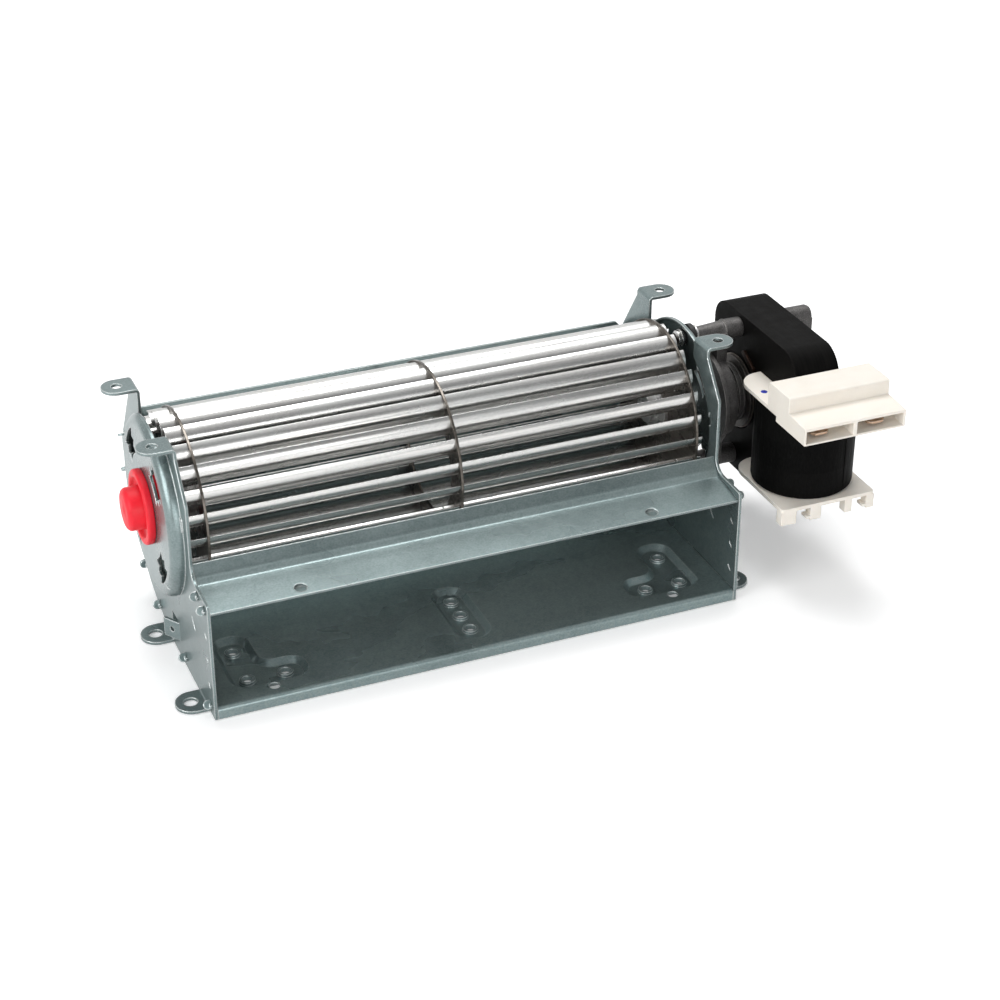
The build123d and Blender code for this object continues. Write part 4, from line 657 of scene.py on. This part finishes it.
lacquer, tree, surface = new_finish("black_lacquered_iron", Specular_IOR_Level=0.03)
stampings = use_group(tree, layers, Pitch=(2000.0, 0.0, 0.0))
drips = use_group(tree, grain, Stretch=(260.0, 260.0, 180.0), Detail=4.0)
edge = use_group(tree, edge_wear_and_highlight, Radius=0.00025, Gain=1.6)
colour = mixed(tree, drips.outputs["Value"], (0.0018, 0.0018, 0.0018), (0.004, 0.0038, 0.0036))
colour = mixed(tree, stampings.outputs["Tone"], colour, (0.007, 0.0067, 0.0063), 0.5)
colour = mixed(tree, edge.outputs["Mask"], colour, (0.018, 0.017, 0.016))
relief = bumped(tree, stampings.outputs["Seam"], edge.outputs["Normal"], 0.00004, 0.35)
relief = bumped(tree, drips.outputs["Value"], relief, 0.00006, 0.5)
coat(tree, surface, colour, ranged(tree, drips.outputs["Value"], 0.40, 0.55), relief)
dress(lacquer, "stator_stack", "core_bar")

# Shading rings: closed copper rings through both poles, which make the motor start. They
# are dipped in the lacquer with the laminations, so only a brown glint is left of them.
copper, tree, surface = new_finish("copper", Metallic=0.85)
tarnish = use_group(tree, grain, Stretch=(600.0, 600.0, 600.0), Detail=4.0)
edge = use_group(tree, edge_wear_and_highlight, Radius=0.0003, Gain=2.0)
colour = mixed(tree, tarnish.outputs["Value"], (0.010, 0.007, 0.006), (0.045, 0.022, 0.014))
colour = mixed(tree, edge.outputs["Mask"], colour, (0.055, 0.032, 0.024))
relief = bumped(tree, tarnish.outputs["Value"], edge.outputs["Normal"], 0.00003, 0.5)
coat(tree, surface, colour, ranged(tree, tarnish.outputs["Value"], 0.5, 0.3), relief)
dress(copper, "upper_shading_ring", "lower_shading_ring")

# Bobbin: moulded cream plastic that carries the winding on the core bar, with four hooked
# legs at its foot. The winder's blue ink dot is on its top flange.
cream, tree, surface = new_finish("cream_plastic", Subsurface_Weight=0.15, Specular_IOR_Level=0.4)
surface.inputs["Subsurface Radius"].default_value = (0.0012, 0.001, 0.0008)
clouding = use_group(tree, grain, Stretch=(120.0, 120.0, 120.0), Detail=3.0)
spark = use_group(tree, grain, Stretch=(2800.0, 2800.0, 2800.0), Detail=3.0)
edge = use_group(tree, edge_wear_and_highlight, Radius=0.00035, Gain=2.0)
colour = mixed(tree, clouding.outputs["Value"], (0.80, 0.75, 0.675), (0.85, 0.805, 0.735))
colour = mixed(tree, spark.outputs["Value"], colour, (0.77, 0.715, 0.635), 0.25)
colour = mixed(tree, edge.outputs["Mask"], colour, (0.93, 0.90, 0.85))
relief = bumped(tree, spark.outputs["Value"], edge.outputs["Normal"], 0.00002, 0.5)
coat(tree, surface, colour, ranged(tree, spark.outputs["Value"], 0.46, 0.60), relief)
dress(cream, "bobbin")
BOBBIN_ROUND = 0.0002
softened_copy("bobbin", "bobbin_moulding", BOBBIN_ROUND, cream)

DOT_PLACE = (0.108, -0.0107)
DOT_R, DOT_TOP_R, DOT_T = 0.00115, 0.00105, 0.00006
DOT_WAVER, WAVER_STEP = 0.06, 1.7
DOT_LIFT = 0.00002
ink, tree, surface = new_finish("blue_ink", Specular_IOR_Level=0.3)
soak = use_group(tree, grain, Stretch=(1800.0, 1800.0, 1800.0), Detail=4.0)
colour = mixed(tree, soak.outputs["Value"], (0.008, 0.015, 0.22), (0.02, 0.035, 0.38))
tree.links.new(colour, surface.inputs["Base Color"])
tree.links.new(ranged(tree, soak.outputs["Value"], 0.35, 0.6), surface.inputs["Roughness"])
dot_form = bmesh.new()
bmesh.ops.create_cone(dot_form, cap_ends=True, segments=24,
                      radius1=DOT_R, radius2=DOT_TOP_R, depth=DOT_T)
for number, corner in enumerate(dot_form.verts):
    corner.co.x *= 1.0 + DOT_WAVER * math.sin(WAVER_STEP * number)
flange_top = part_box("bobbin")[1].z
bmesh.ops.translate(dot_form, verts=dot_form.verts, vec=(*DOT_PLACE, flange_top + DOT_LIFT))
new_piece("ink_dot", dot_form, ink)

# Coil: enamelled copper wire under black insulating tape. The tape's last turn ends in
# front, a little proud, and its lower and upper edges are pressed in by the flanges.
tape, tree, surface = new_finish("black_tape", Specular_IOR_Level=0.03)
wraps = use_group(tree, layers, Pitch=(0.0, 0.0, 96.0))
weave = use_group(tree, grain, Stretch=(2400.0, 2400.0, 700.0), Detail=3.0)
creases = use_group(tree, grain, Stretch=(420.0, 420.0, 60.0), Detail=4.0)
edge = use_group(tree, edge_wear_and_highlight, Radius=0.0003, Gain=1.5)
colour = mixed(tree, weave.outputs["Value"], (0.0015, 0.0015, 0.0015), (0.0035, 0.0035, 0.0034))
colour = mixed(tree, wraps.outputs["Tone"], colour, (0.006, 0.0058, 0.0055), 0.3)
colour = mixed(tree, edge.outputs["Mask"], colour, (0.012, 0.0115, 0.011))
relief = bumped(tree, creases.outputs["Value"], edge.outputs["Normal"], 0.0002, 0.5)
relief = bumped(tree, weave.outputs["Value"], relief, 0.00004, 0.5)
relief = bumped(tree, wraps.outputs["Seam"], relief, 0.00006, 0.5)
coat(tree, surface, colour, ranged(tree, creases.outputs["Value"], 0.42, 0.62), relief)
dress(tape, "coil")

coil_low, coil_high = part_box("coil")
coil_middle = (coil_low + coil_high) / 2
coil_radius = (coil_high.x - coil_low.x) / 2
TAPE_T, TAPE_SUNK = 0.00018, 0.00005
TAPE_MARGIN, TAPE_GAP = 0.0012, 1e-7
TAPE_ROUND, TAPE_TURN = math.radians(312), math.radians(24)
tape_form = bmesh.new()
tape_low, tape_high = coil_low.z + TAPE_MARGIN, coil_high.z - TAPE_MARGIN
tape_start = [
    tape_form.verts.new((coil_middle.x, coil_middle.y - coil_radius - out, z))
    for out, z in ((-TAPE_SUNK, tape_low), (TAPE_T, tape_low),
                   (TAPE_T, tape_high), (-TAPE_SUNK, tape_high))]
tape_end = tape_form.faces.new(tape_start)
bmesh.ops.spin(tape_form, geom=[tape_end], cent=coil_middle, axis=(0.0, 0.0, 1.0),
               angle=TAPE_ROUND, steps=78, use_merge=False)
bmesh.ops.remove_doubles(tape_form, verts=tape_form.verts, dist=TAPE_GAP)
bmesh.ops.rotate(tape_form, verts=tape_form.verts, cent=coil_middle,
                 matrix=Matrix.Rotation(TAPE_TURN, 3, "Z"))
bmesh.ops.holes_fill(tape_form, edges=tape_form.edges)
bmesh.ops.recalc_face_normals(tape_form, faces=tape_form.faces)
new_piece("coil_tape", tape_form, tape)

# Connector: a stepped block moulded in the same cream plastic, pegged to the bobbin's top
# flange. It has two open sockets for the plug, with a blade terminal in each.
dress(cream, "connector_housing")
CONNECTOR_ROUND = 0.00025
softened_copy("connector_housing", "connector_moulding", CONNECTOR_ROUND, cream)

# Terminals: flat blades stamped from brass and tinned, with cut corners at the tip and a
# dimple hole. The coil's wire ends are soldered to their tails inside the block.
tinned, tree, surface = new_finish("tinned_brass", Metallic=0.9)
tin = use_group(tree, grain, Stretch=(700.0, 120.0, 700.0), Detail=4.0)
edge = use_group(tree, edge_wear_and_highlight, Radius=0.00025, Gain=3.0)
colour = mixed(tree, tin.outputs["Value"], (0.50, 0.33, 0.22), (0.62, 0.45, 0.33))
colour = mixed(tree, edge.outputs["Mask"], colour, (0.92, 0.86, 0.78))
relief = bumped(tree, tin.outputs["Value"], edge.outputs["Normal"], 0.00002, 0.5)
coat(tree, surface, colour, ranged(tree, tin.outputs["Value"], 0.26, 0.42), relief)
dress(tinned, "left_terminal", "right_terminal")

# Rotor: a core of iron stampings turned true, with aluminium bars and end rings cast
# through it. It is pressed on the shaft between the two bushes.
rotor_iron, tree, surface = new_finish("rotor_iron", Metallic=0.85)
stampings = use_group(tree, layers, Pitch=(2000.0, 0.0, 0.0))
rust = use_group(tree, grain, Stretch=(500.0, 500.0, 500.0), Detail=4.0)
edge = use_group(tree, edge_wear_and_highlight, Radius=0.0002, Gain=3.0)
colour = mixed(tree, stampings.outputs["Tone"], (0.13, 0.115, 0.10), (0.22, 0.20, 0.18))
colour = mixed(tree, rust.outputs["Value"], colour, (0.12, 0.07, 0.045), 0.5)
colour = mixed(tree, edge.outputs["Mask"], colour, (0.34, 0.32, 0.30))
relief = bumped(tree, stampings.outputs["Seam"], edge.outputs["Normal"], 0.00005, 0.6)
coat(tree, surface, colour, ranged(tree, rust.outputs["Value"], 0.35, 0.55), relief)
dress(rotor_iron, "rotor_core")

cage_metal, tree, surface = new_finish("cast_aluminium", Metallic=0.9)
chill = use_group(tree, grain, Stretch=(1400.0, 1400.0, 1400.0), Detail=4.0)
grime = use_group(tree, grain, Stretch=(300.0, 300.0, 300.0), Detail=3.0)
edge = use_group(tree, edge_wear_and_highlight, Radius=0.00025, Gain=2.5)
colour = mixed(tree, chill.outputs["Value"], (0.09, 0.085, 0.08), (0.17, 0.16, 0.15))
colour = mixed(tree, grime.outputs["Value"], colour, (0.06, 0.05, 0.042), 0.5)
colour = mixed(tree, edge.outputs["Mask"], colour, (0.30, 0.285, 0.27))
relief = bumped(tree, chill.outputs["Value"], edge.outputs["Normal"], 0.00006, 0.6)
coat(tree, surface, colour, ranged(tree, chill.outputs["Value"], 0.38, 0.55), relief)
dress(cage_metal, "rotor_cage")

# Grommets: moulded black rubber, snapped into the right dish, so that the motor hangs
# softly on it. Each has a flange outside, a neck and a lip inside.
rubber, tree, surface = new_finish("black_rubber", Specular_IOR_Level=0.4)
bloom = use_group(tree, grain, Stretch=(500.0, 500.0, 500.0), Detail=4.0)
fine = use_group(tree, grain, Stretch=(4200.0, 4200.0, 4200.0), Detail=2.0)
edge = use_group(tree, edge_wear_and_highlight, Radius=0.0003, Gain=2.0)
colour = mixed(tree, bloom.outputs["Value"], (0.010, 0.010, 0.010), (0.020, 0.020, 0.019))
colour = mixed(tree, edge.outputs["Mask"], colour, (0.05, 0.05, 0.048))
relief = bumped(tree, fine.outputs["Value"], edge.outputs["Normal"], 0.00002, 0.4)
coat(tree, surface, colour, ranged(tree, bloom.outputs["Value"], 0.45, 0.62), relief)
dress(rubber, "grommets")

# Screws and washers: steel with bright zinc plating. Two short screws hold the front posts
# to the dish through the grommets, and two long ones clamp the castings and laminations.
plating, tree, surface = new_finish("zinc_plated_steel", Metallic=1.0)
bath = use_group(tree, grain, Stretch=(420.0, 420.0, 420.0), Detail=3.0)
turning = use_group(tree, grain, Stretch=(5000.0, 300.0, 300.0), Detail=2.0)
edge = use_group(tree, edge_wear_and_highlight, Radius=0.00025, Gain=3.0)
colour = mixed(tree, bath.outputs["Value"], (0.56, 0.57, 0.60), (0.66, 0.65, 0.60))
colour = mixed(tree, turning.outputs["Value"], colour, (0.48, 0.48, 0.47), 0.3)
colour = mixed(tree, edge.outputs["Mask"], colour, (0.90, 0.90, 0.88))
relief = bumped(tree, turning.outputs["Value"], edge.outputs["Normal"], 0.00001, 0.5)
coat(tree, surface, colour, ranged(tree, bath.outputs["Value"], 0.2, 0.34), relief)
dress(plating, "plate_screws", "stack_screws", "post_washers")

size = {name: [[float(value) for value in corner] for corner in box]
        for name, box in (("cad", cad_box), ("visual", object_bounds()))}
